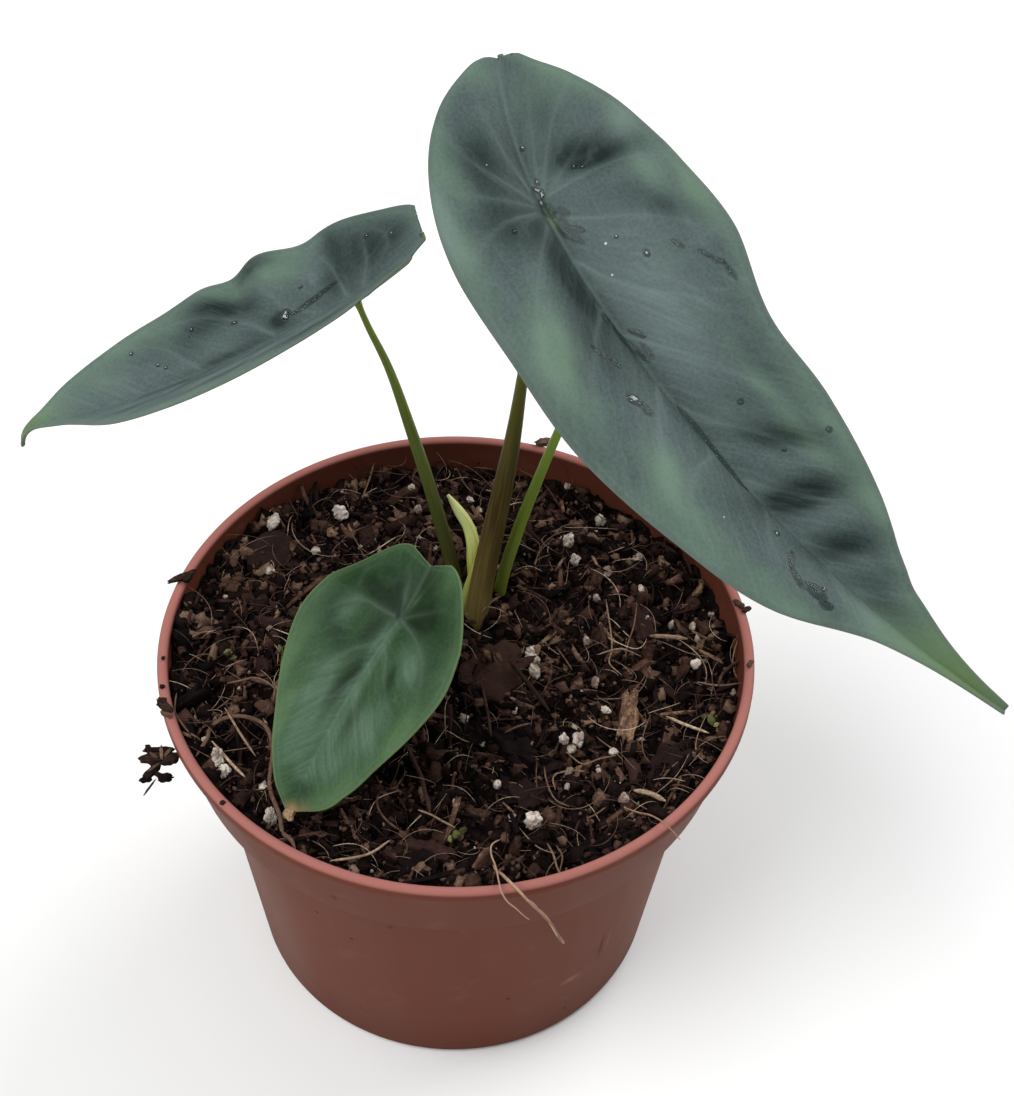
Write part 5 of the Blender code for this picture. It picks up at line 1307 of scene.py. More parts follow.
def waves(leaf, u, v, half):
    """Height of the hollows, ridges and the quilting between the side veins."""
    side = np.where(v < 0, -1, 1)
    across = np.abs(v)
    spacing, depth, slant = leaf["quilt"]
    share = np.clip(across / half, 0.0, 1.0)
    height = depth * np.sin(math.pi * share) * np.sin(2 * math.pi * (u - slant * across) / spacing)
    for wave_side, u0, reach_u, v0, reach_v, rise, lean in leaf["waves"]:
        bump = np.exp(-(((u - u0 - lean * across) / reach_u) ** 2) - ((across - v0) / reach_v) ** 2)
        height = height + rise * bump * np.where(wave_side * side >= 0, 1.0, 0.0)
    near = np.clip(across / 2.0, 0.0, 1.0)
    return height * near * near * (3 - 2 * near)


def half_width(leaf, share):
    """Left and right half width of the leaf at each share of its length."""
    table = np.array(leaf["stations"])
    root = np.sqrt(table[:, 0])
    return spline(np.sqrt(share), root, table[:, 1]), spline(np.sqrt(share), root, table[:, 2])


def leaf_points(leaf, share, q):
    """Places on the upper face: share of the length from the rear end, q from -1 to 1 across."""
    half = np.where(q > 0, *half_width(leaf, share))
    v = q * half
    u = (leaf["rear"] + leaf["front"]) * share - leaf["rear"]
    u = u + leaf["notch"] * (1 - np.abs(q)) * np.clip(1 - share / NOTCH_REACH, 0, 1) ** 2
    u = u + leaf["lobe_skew"] * q * np.clip(1 - share / SKEW_REACH, 0, 1) ** 2
    fine_u, place, left, up = midrib(leaf)

    def at(values):
        return np.stack([np.interp(u, fine_u, values[:, k]) for k in range(3)], 1)

    side = np.where(v < 0, -1.0, 1.0)
    ahead = np.clip(u / leaf["front"], 0.0, 1.0)
    fold_left, fold_right, fold_tip = leaf["fold"]
    fold = np.radians(np.where(v > 0, fold_left, fold_right) + fold_tip * ahead ** 2)
    bend = np.radians(np.where(v > 0, *leaf["curl"])) / half
    out = (np.sin(fold + bend * np.abs(v)) - np.sin(fold)) / bend
    rise = (np.cos(fold) - np.cos(fold + bend * np.abs(v))) / bend
    rise = rise + waves(leaf, u, v, half)
    return at(place) + at(left) * (side * out)[:, None] + at(up) * rise[:, None], u, v


def in_metres(points):
    """The same points with every value in metres."""
    return [tuple(value * MM for value in point) for point in points]


def stalk_path(leaf, points, top_radius):
    """Stalk points in metres, ended just under the blade and square to it."""
    _, _, up = midrib_directions(leaf, np.array([0.0]))
    joint = Vector(leaf["joint"]) * MM
    normal = Vector(up[0])
    seat = joint - normal * (BLADE_THICKNESS + RIB_DEPTH + GAP)
    path = in_metres(points)
    path.append((*(seat - normal * STALK_TOP_RUN), 0.5 * (path[-1][3] + top_radius)))
    path.append((*seat, top_radius))
    return path


# Pot

def pot_profile():
    """Pot wall, from the middle of the inner floor over the lip to the middle of the underside."""
    collar_foot = POT_HEIGHT - COLLAR_HEIGHT
    ledge = collar_foot + POT_WALL
    lip = LIP_WIDTH / 2
    lip_x = RIM_RADIUS - lip
    lip_foot = POT_HEIGHT - LIP_HEIGHT
    floor_x = body_inner_radius(POT_FLOOR) - BASE_FILLET
    corner, lip_round, foot_round = 0.5 * MM, 0.4 * MM, 0.6 * MM
    points = [(0.0, POT_FLOOR)]
    points += arc(floor_x, POT_FLOOR + BASE_FILLET, BASE_FILLET, -90, 0, 6)
    points += [(body_inner_radius(ledge), ledge - corner)]
    points += [(body_inner_radius(ledge) + corner, ledge), (collar_inner_radius(ledge), ledge)]
    points += [(collar_inner_radius(lip_foot), lip_foot)]
    points += arc(lip_x, POT_HEIGHT - lip, lip, 180, 0, 14)
    points += arc(RIM_RADIUS - lip_round, lip_foot, lip_round, 0, -90, 3)
    points += [(RIM_RADIUS - 0.75 * MM, lip_foot - 0.55 * MM)]
    foot_x = COLLAR_FOOT_RADIUS - foot_round
    points += arc(foot_x, collar_foot + foot_round, foot_round, -8, -90, 4)
    points += [(BODY_TOP_RADIUS + corner, collar_foot)]
    points += arc(BODY_TOP_RADIUS + corner, collar_foot - corner, corner, 90, 180, 3)
    base_x = BASE_RADIUS - BASE_FILLET
    points += arc(base_x, BASE_FILLET, BASE_FILLET, 0, -90, 8)
    points += [(FOOT_RING_INNER_RADIUS, 0.0), (FOOT_RING_INNER_RADIUS - 1 * MM, BASE_RECESS)]
    points += [(BASE_DISC_RADIUS + 1 * MM, BASE_RECESS), (BASE_DISC_RADIUS, 0.0), (0.0, 0.0)]
    return points


def drain_cutters():
    """Collection of the round cutters for the drainage holes."""
    cutters = bpy.data.collections.new("drain_cutters")
    bpy.context.scene.collection.children.link(cutters)
    for i in range(DRAIN_COUNT):
        turn = 2 * math.pi * i / DRAIN_COUNT
        shape = bmesh.new()
        bmesh.ops.create_cone(
            shape, cap_ends=True, segments=DRAIN_SIDES, depth=4 * POT_FLOOR,
            radius1=DRAIN_RADIUS, radius2=DRAIN_RADIUS)
        offset = (DRAIN_CIRCLE_RADIUS * math.cos(turn), DRAIN_CIRCLE_RADIUS * math.sin(turn), 0.0)
        bmesh.ops.translate(shape, verts=shape.verts, vec=offset)
        cutter = mesh_of("drain_cutter", shape)
        cutters.objects.link(bpy.data.objects.new(f"drain_cutter_{i + 1}", cutter))
    return cutters


def make_pot(looks):
    """Turned pot with a ring of drainage holes, its rims rounded as the mould leaves them."""
    profile = pot_profile()
    mesh = bpy.data.meshes.new("pot_profile")
    edges = [(i, i + 1) for i in range(len(profile) - 1)]
    mesh.from_pydata([(x, 0.0, z) for x, z in profile], edges, [])
    blank = add_object("pot_blank", mesh)
    screw = blank.modifiers.new("Turn", "SCREW")
    screw.steps = looks.steps
    screw.render_steps = looks.steps
    screw.use_merge_vertices = True
    screw.merge_threshold = 0.01 * MM
    cutters = drain_cutters()
    holes = blank.modifiers.new("Drains", "BOOLEAN")
    holes.operation = "DIFFERENCE"
    holes.operand_type = "COLLECTION"
    holes.collection = cutters
    holes.solver = "EXACT"
    made = plain_mesh(blank)
    bpy.data.objects.remove(blank)
    remove_group(cutters)
    pot = keep("pot_shell", made, moulded_polypropylene(looks), ("pot",))
    pot.data.set_sharp_from_angle(angle=SHARP_ANGLE)
    return pot


# Leaves

def flow_start(looks, u, v):
    """Where on the midrib the side vein through (u, v) starts."""
    table = np.array(looks["flow"], dtype=float)
    low = np.full(u.shape, table[0, 0] - 30.0)
    high = np.full(u.shape, table[-1, 0] + 5.0)
    across = np.abs(v)
    for _ in range(SEARCH_STEPS):
        middle = 0.5 * (low + high)
        reach = middle + np.interp(middle, table[:, 0], table[:, 1]) * across
        beyond = reach + FLOW_BEND * across ** 2 > u
        high = np.where(beyond, middle, high)
        low = np.where(beyond, low, middle)
    return 0.5 * (low + high)


def flow_veins(leaf, looks):
    """Side veins that follow the flow, for a leaf whose veins the photograph doesn't show."""
    table = np.array(looks["flow"], dtype=float)
    table_half = np.array(leaf["stations"])
    length = leaf["rear"] + leaf["front"]
    veins = []
    for side in (1.0, -1.0):
        for start in BACK_VEIN_STARTS:
            across = np.linspace(0.3, 12.0, 10)
            u = start + np.interp(start, table[:, 0], table[:, 1]) * across
            u = u + FLOW_BEND * across ** 2
            half = np.interp((u + leaf["rear"]) / length, table_half[:, 0], table_half[:, 1])
            inside = (across < 0.86 * half) & (u > -0.9 * leaf["rear"])
            if inside.sum() > 3:
                rows = zip(u[inside].tolist(), (side * across[inside]).tolist())
                veins.append((0.8, *rows))
    return veins


def vein_field(veins, u, v, width):
    """How much of a side vein is at each place, from 0 to 1."""
    field = np.zeros(u.shape)
    for strength, *points in veins:
        line = smooth_path(points, VEIN_POINTS)
        reach = 3.0 * width
        low, high = line.min(0) - reach, line.max(0) + reach
        near = np.where((u > low[0]) & (u < high[0]) & (v > low[1]) & (v < high[1]))[0]
        if not len(near):
            continue
        place = np.stack([u[near], v[near]], 1)[:, None, :]
        start, step = line[None, :-1], np.diff(line, axis=0)[None]
        t = np.clip(((place - start) * step).sum(2) / (step ** 2).sum(2), 0.0, 1.0)
        gap = np.linalg.norm(place - start - t[..., None] * step, axis=2)
        best = gap.argmin(1)
        share = (best + t[np.arange(len(near)), best]) / (len(line) - 1)
        fade = 1.0 - 0.85 * share
        value = strength * fade * np.exp(-((gap.min(1) / width) ** 2))
        field[near] = np.maximum(field[near], value)
    return field


def patches(rows, u, v):
    """Sum of soft patches at each place, from 0 to 1."""
    total = np.zeros(u.shape)
    for u0, v0, reach_u, reach_v, lean, weight in rows:
        along = (u - u0 - lean * (v - v0)) / reach_u
        total += weight * np.exp(-along ** 2 - ((v - v0) / reach_v) ** 2)
    return np.clip(total, 0.0, 1.0)


def wet_places(rows, u, v):
    """How wet each place is: 1 in the middle of a drop or film, 0 well outside it."""
    wet = np.zeros(u.shape)
    for u0, v0, half_long, half_wide, turn, _ in rows:
        tilt = math.radians(turn)
        along = (u - u0) * math.cos(tilt) + (v - v0) * math.sin(tilt)
        across = (v - v0) * math.cos(tilt) - (u - u0) * math.sin(tilt)
        far = np.hypot(along / (half_long + 0.3), across / (half_wide + 0.3))
        wet = np.maximum(wet, np.clip(1.5 - far, 0.0, 1.0))
    return wet


def relief(leaf, veins, u, v, depth):
    """Height of the fine relief on the upper face: grooves over the veins, swells between."""
    ahead = np.clip(1.0 - u / leaf["front"], 0.1, 1.0) * np.clip(1.0 + u / leaf["rear"], 0.1, 1.0)
    groove = GROOVE_DEPTH * np.exp(-((v / GROOVE_WIDTH) ** 2)) * ahead
    side = LINE_DEPTH * vein_field(veins, u, v, LINE_WIDTH)
    side = side + HOLLOW_DEPTH * vein_field(veins, u, v, HOLLOW_WIDTH)
    near = np.clip(np.abs(v) / 1.5, 0.0, 1.0)
    return -depth * (groove + side * near)


def surface(leaf, veins, share, q, depth):
    """Places on the finished upper face with their flat coordinates."""
    place, u, v = leaf_points(leaf, share, q)
    _, _, up = midrib_directions(leaf, u)
    return place + up * relief(leaf, veins, u, v, depth)[:, None], u, v


def grid_normals(place, rows, columns):
    """Normals of a grid of places, out of the upper face."""
    net = place.reshape(rows, columns, 3)
    return unit(np.cross(np.gradient(net, axis=0), np.gradient(net, axis=1))).reshape(-1, 3)


def blade_wall(leaf, veins, u, v, inset):
    """Thickness of a blade in millimetres: thin at the margin, and thick over its ribs."""
    taper = np.clip(1.0 - u / leaf["front"], 0.15, 1.0) * np.clip(1 + u / leaf["rear"], 0.1, 1.0)
    edge, body = EDGE_THICKNESS / MM, BLADE_THICKNESS / MM
    inner = np.clip(inset / EDGE_REACH, 0, 1)
    wall = edge + (body - edge) * inner
    wall += RIB_DEPTH / MM * np.exp(-((v * MM / RIB_HALF_WIDTH) ** 2)) * taper
    return wall + SIDE_RIB_DEPTH * vein_field(veins, u, v, SIDE_RIB_WIDTH) * inner


def margin_line(top, bottom, normal):
    """Outermost line of a blade's rounded margin, from the borders of its two faces."""
    middle = 0.5 * (top + bottom)
    ahead = np.roll(middle, -1, 0) - np.roll(middle, 1, 0)
    outward = unit(np.cross(normal, ahead)) * 0.5 * (EDGE_THICKNESS / MM)
    if (outward * (middle - middle.mean(0))).sum() < 0:
        outward = -outward
    return middle + outward


def blade_faces(index, border):
    """Faces of a blade's upper side, of its lower side and of the margin between them."""
    count = index.size
    a, b = index[:-1, :-1].ravel(), index[1:, :-1].ravel()
    c, d = index[1:, 1:].ravel(), index[:-1, 1:].ravel()
    follow = np.roll(border, -1)
    ring = 2 * count + np.arange(len(border))
    after = np.roll(ring, -1)
    return np.vstack([
        np.stack([a, b, c, d], 1), np.stack([d, c, b, a], 1) + count,
        np.stack([border, ring, after, follow], 1),
        np.stack([ring, border + count, follow + count, after], 1)])


def skin_layers(leaf, looks, veins, u, v, margin, inset):
    """Layers that a leaf's skin is mixed from: name and values on the upper face, then the
    value on the lower face and the one on the rim where they are others."""
    green, hollow, pale, tip = [
        patches(looks[name], u, v) for name in ("green", "hollow", "pale", "tip")]
    band = 0.4 * np.exp(-((margin - GREEN_BAND_INSET) / GREEN_BAND_WIDTH) ** 2)
    midrib_line = np.exp(-((v / MIDRIB_LINE) ** 2)) * np.clip(1 - u / leaf["front"], 0.2, 1)
    fine = vein_field(veins, u, v, FINE_LINE)
    soft = 0.45 * vein_field(veins, u, v, SOFT_LINE)
    line = 1.25 * np.maximum(np.maximum(fine, soft), 0.6 * midrib_line)
    edge_vein = np.exp(-(((inset - EDGE_VEIN_INSET) / EDGE_VEIN_WIDTH) ** 2))
    return (
        ("green", np.clip(green + band, 0, 1)), ("hollow", hollow), ("pale", pale), ("tip", tip),
        ("vein", np.maximum(line, looks.get("edge_vein", 0.35) * edge_vein)),
        ("rim", 0.45 * np.exp(-((inset / RIM_LINE) ** 2)), None, 0.8),
        ("wet", wet_places(looks["water"], u, v), 0.0, 0.0),
        ("upper", np.ones(u.shape), 0.0, 0.6))


def make_leaf(key, leaf, looks, size, finish, depth):
    """Leaf blade: a fine grid with the relief of its veins above and its ribs below, thin at
    the margin and rounded there."""
    rows, columns = size
    veins = list(looks["veins"]) or flow_veins(leaf, looks)
    along, across = np.meshgrid(
        np.linspace(0, 1, rows) ** 1.35, np.linspace(-1, 1, columns), indexing="ij")
    share, q = along.ravel(), (across * (0.62 + 0.38 * np.abs(across))).ravel()
    top, u, v = surface(leaf, veins, share, q, depth)
    normal = grid_normals(top, rows, columns)
    margin = np.where(v > 0, *half_width(leaf, share)) - np.abs(v)
    ends = np.minimum(share, 1 - share) * (leaf["rear"] + leaf["front"])
    inset = np.minimum(margin, ends + 0.4)
    bottom = top - normal * blade_wall(leaf, veins, u, v, inset)[:, None]
    index = np.arange(rows * columns).reshape(rows, columns)
    border = np.concatenate([
        index[:-1, 0], index[-1, :-1], index[:0:-1, -1], index[0, :0:-1]])
    lip = margin_line(top[border], bottom[border], normal[border])
    mesh = mesh_from(key, np.vstack([top, bottom, lip]) * MM, blade_faces(index, border))
    face_outwards(mesh)

    def spread(values, below=None, rim=None):
        under = values if below is None else np.full(values.shape, below)
        ring = values[border] if rim is None else np.full(len(border), rim)
        return np.concatenate([values, under, ring])

    across = np.abs(spread(v))
    set_uv(mesh, "flat", np.stack([spread(u), spread(v)], 1) * MM)
    set_uv(mesh, "flow", np.stack([spread(flow_start(looks, u, v)), across], 1) * MM)
    for name, *values in skin_layers(leaf, looks, veins, u, v, margin, inset):
        set_values(mesh, name, spread(*values))
    return keep("leaf_" + key, mesh, finish, ("blade_" + key,))


def water_drop(leaf, veins, row, number, depth):
    """Places and faces of one drop or film: a ragged oval that swells over the leaf, and the
    same oval sunk into it."""
    u0, v0, half_long, half_wide, turn, height = row
    rings, steps = DROP_GRID if half_long < FILM_HALF_LENGTH else FILM_GRID
    angle = np.linspace(0, 2 * math.pi, steps, endpoint=False)
    round_it = np.stack([np.cos(angle), np.sin(angle), 0 * angle], 1)
    ragged = 1.0 + 0.5 * roughness_at(round_it, 0.7, number + 1)
    ragged = ragged + 0.3 * roughness_at(round_it, 0.25, number + 3)
    tilt = math.radians(turn)
    share = np.repeat(np.linspace(0, 1, rings + 1)[1:], steps)
    out = share * np.tile(ragged, rings)
    x = np.append(0.0, out * half_long * np.cos(np.tile(angle, rings)))
    y = np.append(0.0, out * half_wide * np.sin(np.tile(angle, rings)))
    u = u0 + x * math.cos(tilt) - y * math.sin(tilt)
    v = v0 + x * math.sin(tilt) + y * math.cos(tilt)
    length = leaf["rear"] + leaf["front"]
    part = (u + leaf["rear"]) / length
    q = v / np.where(v > 0, *half_width(leaf, part))
    base, _, _ = surface(leaf, veins, part, q, depth)
    ahead, _, _ = surface(leaf, veins, part + SLOPE_STEP / length, q, depth)
    aside, _, _ = surface(leaf, veins, part, q + SLOPE_STEP / 20.0, depth)
    normal = unit(np.cross(ahead - base, aside - base))
    profile = np.append(1.0, np.sqrt(np.clip(1.0 - share ** 3, 0, 1)))
    swell = height * profile * (1.0 + 0.45 * roughness_at(base, 1.1, number + 5))
    places = np.vstack([
        base + normal * (swell + WATER_PROUD)[:, None], base - normal * WATER_SUNK])
    count = 1 + rings * steps
    skin, edge = ringed(np.arange(rings * steps).reshape(rings, steps) + 1)
    side = [(a, a + count, b + count, b) for a, b in edge]
    return places, [*skin, *side, *[[i + count for i in face[::-1]] for face in skin]]


def make_water(key, leaf, looks, films, beads, depth):
    """Films of water on one leaf, and the drops among them that stand high enough to shine."""
    verts, faces, finishes = [], [], []
    for number, row in enumerate(looks["water"]):
        places, corners = water_drop(leaf, looks["veins"], row, number, depth)
        faces += [[len(verts) + i for i in face] for face in corners]
        verts += list(places)
        finishes += [int(row[-1] >= BEAD_HEIGHT)] * len(corners)
    mesh = mesh_from("water_" + key, np.array(verts) * MM, faces)
    face_outwards(mesh)
    mesh.materials.append(films)
    mesh.materials.append(beads)
    mesh.polygons.foreach_set("material_index", finishes)
    return keep("water_" + key, mesh, None)


# Stalks

def with_tone(path, tone=0.5):
    """Rows of a path with a tone added."""
    return [(*row[:4], tone) for row in path]


def make_stalk(key, leaf, points, top_radius, finish):
    """Stalk of one leaf, widened where it joins the blade."""
    rows = stalk_path(leaf, points, top_radius)
    del rows[-2]
    end = Vector(rows[-1][:3])
    ahead = (end - Vector(rows[-2][:3])).normalized()
    path = smooth_path(rows, 90)
    lead = np.linalg.norm(path[:, :3] - np.array(end), axis=1)
    path[:, 3] *= 1.0 + STALK_FLARE * np.exp(-((lead / STALK_FLARE_REACH) ** 2))
    path = with_tone([*path, (*(end + ahead * GAP), path[-1][3] * 1.15)])
    mesh = rods("stalk_rod_" + key, [path], 28, finish)
    return keep("petiole_" + key, mesh, finish, ("stalk_" + key,))


def swept(rows, section):
    """Skin of a section carried along a path; section(share) gives its (side, front) points."""
    path = np.array([row[:3] for row in rows])
    ahead = unit(np.gradient(path, axis=0))
    side = np.cross(ahead[0], (0.0, -1.0, 0.2))
    rings = []
    for number, (place, direction) in enumerate(zip(path, ahead)):
        side = side - direction * np.dot(side, direction)
        side = side / np.linalg.norm(side)
        front = np.cross(direction, side)
        outline = section(number / (len(path) - 1), rows[number][3])
        rings.append(place + outline[:, :1] * side + outline[:, 1:] * front)
    count = len(rings[0])
    faces = []
    for low in range(0, (len(rings) - 1) * count, count):
        for i in range(count):
            j = (i + 1) % count
            faces.append((low + i, low + j, low + count + j, low + count + i))
    faces.append(tuple(range(count))[::-1])
    faces.append(tuple((len(rings) - 1) * count + i for i in range(count)))
    return np.vstack(rings), faces, count


def wrapped(name, rows, section, length):
    """Mesh of a section carried along a path, which knows where along and around it a place
    is."""
    verts, faces, count = swept(rows, section)
    mesh = mesh_from(name, verts, faces)
    shares = np.repeat(np.linspace(0, 1, len(rows)), count)
    set_values(mesh, "share", shares)
    set_values(mesh, "around", np.tile(np.linspace(0, 1, count, endpoint=False), len(rows)))
    set_values(mesh, "along", shares * length)
    return mesh


def make_shoot(finish):
    """Young leaf, still rolled: one edge wraps over the other, and the point is fine."""
    step = np.linspace(0, 1, 44, endpoint=False)

    def section(share, radius):
        angle = 2 * math.pi * step + 2.2 - 0.9 * share
        fold = np.clip(share / 0.3, 0, 1)
        spiral = 1.0 - 0.2 * fold * step ** 3
        flat = 1.0 - 0.22 * fold * np.abs(np.sin(angle))
        reach = radius * spiral * flat
        return np.stack([reach * np.cos(angle), reach * np.sin(angle)], 1)

    mesh = wrapped("shoot", smooth_path(in_metres(SHOOT), 70), section, 32 * MM)
    return keep("rolled_leaf", mesh, finish, ("shoot",))


def make_sheath(finish):
    """Pale edge of the big stalk's sheath, which clasps the shoot at the foot."""
    given = np.array(in_metres(SHEATH))
    run = np.linspace(0, len(given) - 1, 40)
    rows = np.stack([spline(run, np.arange(len(given)), given[:, k]) for k in range(4)], 1)
    angle = np.linspace(0, 2 * math.pi, 20, endpoint=False)

    def section(share, radius):
        reach = radius * math.sqrt(max(0.02, 1.0 - share ** 2))
        return np.stack([1.05 * reach * np.cos(angle), 0.45 * reach * np.sin(angle)], 1)

    mesh = wrapped("sheath", rows, section, 16 * MM)
    return keep("stalk_sheath", mesh, finish)


# Soil

def clods(x, y):
    """How far a place is out of the crevices between the clods, from 0 to 1, and the clod's
    own share of the full height."""
    place = Vector((x, y, 0.0))
    soft = place / CLOD_WARP_SIZE
    warp = Vector((noise.noise(soft), noise.noise(soft + Vector((9, 4, 2))), 0))
    distances, centres = noise.voronoi(place / CLOD_SIZE + 0.28 * warp)
    share = 0.75 + 0.9 * noise.noise(centres[0] * 3.7)
    return min(1.0, 2.4 * (distances[1] - distances[0])) ** 0.7, share


def ground_height(x, y):
    """Height of the soil under the strewn crumbs."""
    place = Vector((x, y, 0.0))
    fine = noise.noise(place / LUMP_SIZE) * 0.7 + noise.noise(place / GRIT_SIZE) * 0.35
    rise, share = clods(x, y)
    clod = CLOD_HEIGHT * (rise * share - 0.55)
    return soil_height(x, y) - GROUND_SINK + clod + fine * MM + bank(x, y)


def bank(x, y):
    """Height of the loose soil that lies against the pot's wall; there is little at the back."""
    radius = math.hypot(x, y)
    turn = math.atan2(y, x)
    back = math.exp(-(((turn - math.pi / 2) / 0.75) ** 2))
    near = math.exp(-(((RIM_RADIUS - 2 * MM - radius) / BANK_WIDTH) ** 2))
    uneven = 0.8 + 0.45 * noise.noise(Vector((x, y, 9.0)) / (12 * MM))
    return BANK_HEIGHT * near * uneven * (1.0 - 0.75 * back)


def stalk_feet():
    """Where each stalk and the shoot leave the soil."""
    feet = []
    for points in (BIG_STALK, LEFT_STALK, BACK_STALK, SMALL_STALK, SHOOT):
        given = np.array(points)
        level = SOIL_LEVEL / MM
        feet.append([float(np.interp(level, given[:, 2], given[:, k])) * MM for k in (0, 1)])
    return np.array(feet)


def make_ground(finish):
    """Soil body: a lumpy top over the same side and bottom as the solid, painted darker down
    in the crevices between the clods as painted shade.
    """
    edge_x = collar_inner_radius(POT_HEIGHT - 3 * MM) - GAP
    ledge = POT_HEIGHT - COLLAR_HEIGHT + POT_WALL + GAP
    bottom = POT_FLOOR + GAP
    fillet = BASE_FILLET + 1 * MM
    below = [
        (collar_inner_radius(ledge) - GAP, ledge), (body_inner_radius(ledge) - GAP, ledge),
        (body_inner_radius(bottom + fillet) - GAP, bottom + fillet),
        (body_inner_radius(bottom) - GAP - fillet, bottom)]
    turns = np.linspace(0, 2 * math.pi, GROUND_STEPS, endpoint=False)
    verts = [(0.0, 0.0, ground_height(0.0, 0.0))]
    for ring in range(1, GROUND_RINGS + 1):
        radius = edge_x * ring / GROUND_RINGS
        for turn in turns:
            x, y = radius * math.cos(turn), radius * math.sin(turn)
            z = ground_height(x, y)
            if ring == GROUND_RINGS:
                slim = (collar_inner_radius(z) - GAP) / radius
                x, y = x * slim, y * slim
            verts.append((x, y, z))
    for radius, z in below:
        verts += [(radius * math.cos(turn), radius * math.sin(turn), z) for turn in turns]
    verts.append((0.0, 0.0, bottom))
    ring_count = GROUND_RINGS + len(below)
    index = 1 + np.arange(ring_count * GROUND_STEPS).reshape(ring_count, GROUND_STEPS)
    faces, edge = ringed(index)
    faces += [(len(verts) - 1, b, a) for a, b in edge]
    mesh = mesh_from("ground", verts, faces)
    # Painted shade: the tone is lower down in the crevices between the clods.
    deep = np.array([1.0 - clods(x, y)[0] for x, y, _ in verts])
    set_values(mesh, "tone", 0.34 - 0.3 * deep)
    return keep("soil_ground", mesh, finish, ("soil",))


def strewing_surface(ground):
    """The soil's top alone, with how open each place is to crumbs and to longer pieces."""
    shape = bmesh.new()
    shape.from_mesh(ground.data)
    shape.normal_update()
    low = [
        face for face in shape.faces
        if face.normal.z < 0.2 or face.calc_center_median().z < SOIL_LEVEL - 8 * MM]
    bmesh.ops.delete(shape, geom=low, context="FACES")
    mesh = mesh_of("soil_top", shape)
    mesh.materials.clear()
    places = np.array([vert.co[:] for vert in mesh.vertices])
    radius = np.hypot(places[:, 0], places[:, 1])
    gap = np.linalg.norm(places[:, None, :2] - stalk_feet()[None], axis=2).min(1)
    inside = (radius < SOIL_EXTRAS_RADIUS - CRUMB_WALL_GAP) & (gap > CRUMB_STALK_GAP)
    clear = (radius < SOIL_EXTRAS_RADIUS - LONG_WALL_GAP) & (gap > LONG_STALK_GAP)
    filled = np.array([0.35 + 0.65 * clods(x, y)[0] for x, y in places[:, :2]])
    set_values(mesh, "everywhere", filled * inside)
    set_values(mesh, "clear", clear.astype(float))
    return mesh


def divided_cube(cuts):
    """Working shape of a cube from -1 to 1 with its sides divided."""
    shape = bmesh.new()
    bmesh.ops.create_cube(shape, size=2.0)
    bmesh.ops.subdivide_edges(shape, edges=shape.edges, cuts=cuts, use_grid_fill=True)
    return shape


def place_shape(shape, angles, place):
    """Turn a working shape and move it to its place."""
    turn = Euler(angles).to_matrix().to_4x4()
    bmesh.ops.transform(shape, verts=shape.verts, matrix=turn)
    bmesh.ops.translate(shape, verts=shape.verts, vec=place)


def join_shape(joined, shape, tone):
    """Add a working shape with its tone to a growing one, and free it."""
    layers = joined.verts.layers.float
    layer = layers.get("tone") or layers.new("tone")
    matching = {}
    for vert in shape.verts:
        new = joined.verts.new(vert.co)
        new[layer] = tone
        matching[vert] = new
    for face in shape.faces:
        joined.faces.new([matching[vert] for vert in face.verts])
    shape.free()


def rough_block(rng, smallest, largest, cuts, roundness, raggedness):
    """Small block with its corners worn and its faces broken; sizes in millimetres. Without
    cuts it starts from a ball of twenty faces."""
    size = rng.uniform(smallest, largest)
    if cuts:
        shape = divided_cube(cuts)
    else:
        shape = bmesh.new()
        bmesh.ops.create_icosphere(shape, subdivisions=1, radius=1.15)
    seed = float(rng.uniform(0, 50))
    shift = Vector((seed, seed * 0.7, seed * 0.3))
    for vert in shape.verts:
        vert.co = vert.co.lerp(vert.co.normalized() * 1.15, roundness)
        push = noise.noise(vert.co * 1.1 + shift) + 0.6 * noise.noise(vert.co * 2.7 + shift)
        vert.co *= 1.0 + raggedness * push
        vert.co += Vector(rng.uniform(-1, 1, 3)) * raggedness * 0.25
        vert.co = Vector([c * s * 0.5 * MM for c, s in zip(vert.co, size)])
    return mesh_of("block", shape)


def coir_fibre(rng):
    """Curly fibre; three sides and a few steps, because hundreds are strewn."""
    length = rng.uniform(5, 13)
    radius = rng.uniform(0.055, 0.11)
    bend, kink, wave = rng.uniform(-2.2, 2.2), rng.uniform(0.2, 1.3), rng.uniform(0, 6)
    lift, spring = rng.uniform(0.0, 1.6), rng.uniform(1.5, 5.0)
    sides, steps = 3, 11
    heading, x, y = 0.0, -0.5 * length, 0.0
    rows = []
    for step in range(steps + 1):
        t = step / steps
        z = lift * math.sin(math.pi * t) + 0.25 * math.sin(spring * t + wave)
        rows.append((x * MM, y * MM, z * MM, radius * MM * (1.0 - 0.7 * abs(2 * t - 1) ** 3)))
        heading += (bend + kink * math.cos(6 * t + wave)) / steps
        x += length / steps * math.cos(heading)
        y += length / steps * math.sin(heading)
    angle = np.linspace(0, 2 * math.pi, sides, endpoint=False)
    ring = np.stack([np.cos(angle), np.sin(angle)], 1)
    verts, faces, _ = swept(rows, lambda share, radius: ring * radius)
    return mesh_from("fibre", verts, faces)


def variants(kind):
    """Collection of different small pieces of one kind to strew."""
    rng = np.random.default_rng(len(kind) * 101)
    group = bpy.data.collections.new(kind)
    for number in range(VARIANT_COUNT):
        mesh = rough_block(rng, *BLOCKS[kind]) if kind in BLOCKS else coir_fibre(rng)
        mesh.shade_smooth()
        group.objects.link(bpy.data.objects.new(f"{kind}_{number + 1}", mesh))
    return group


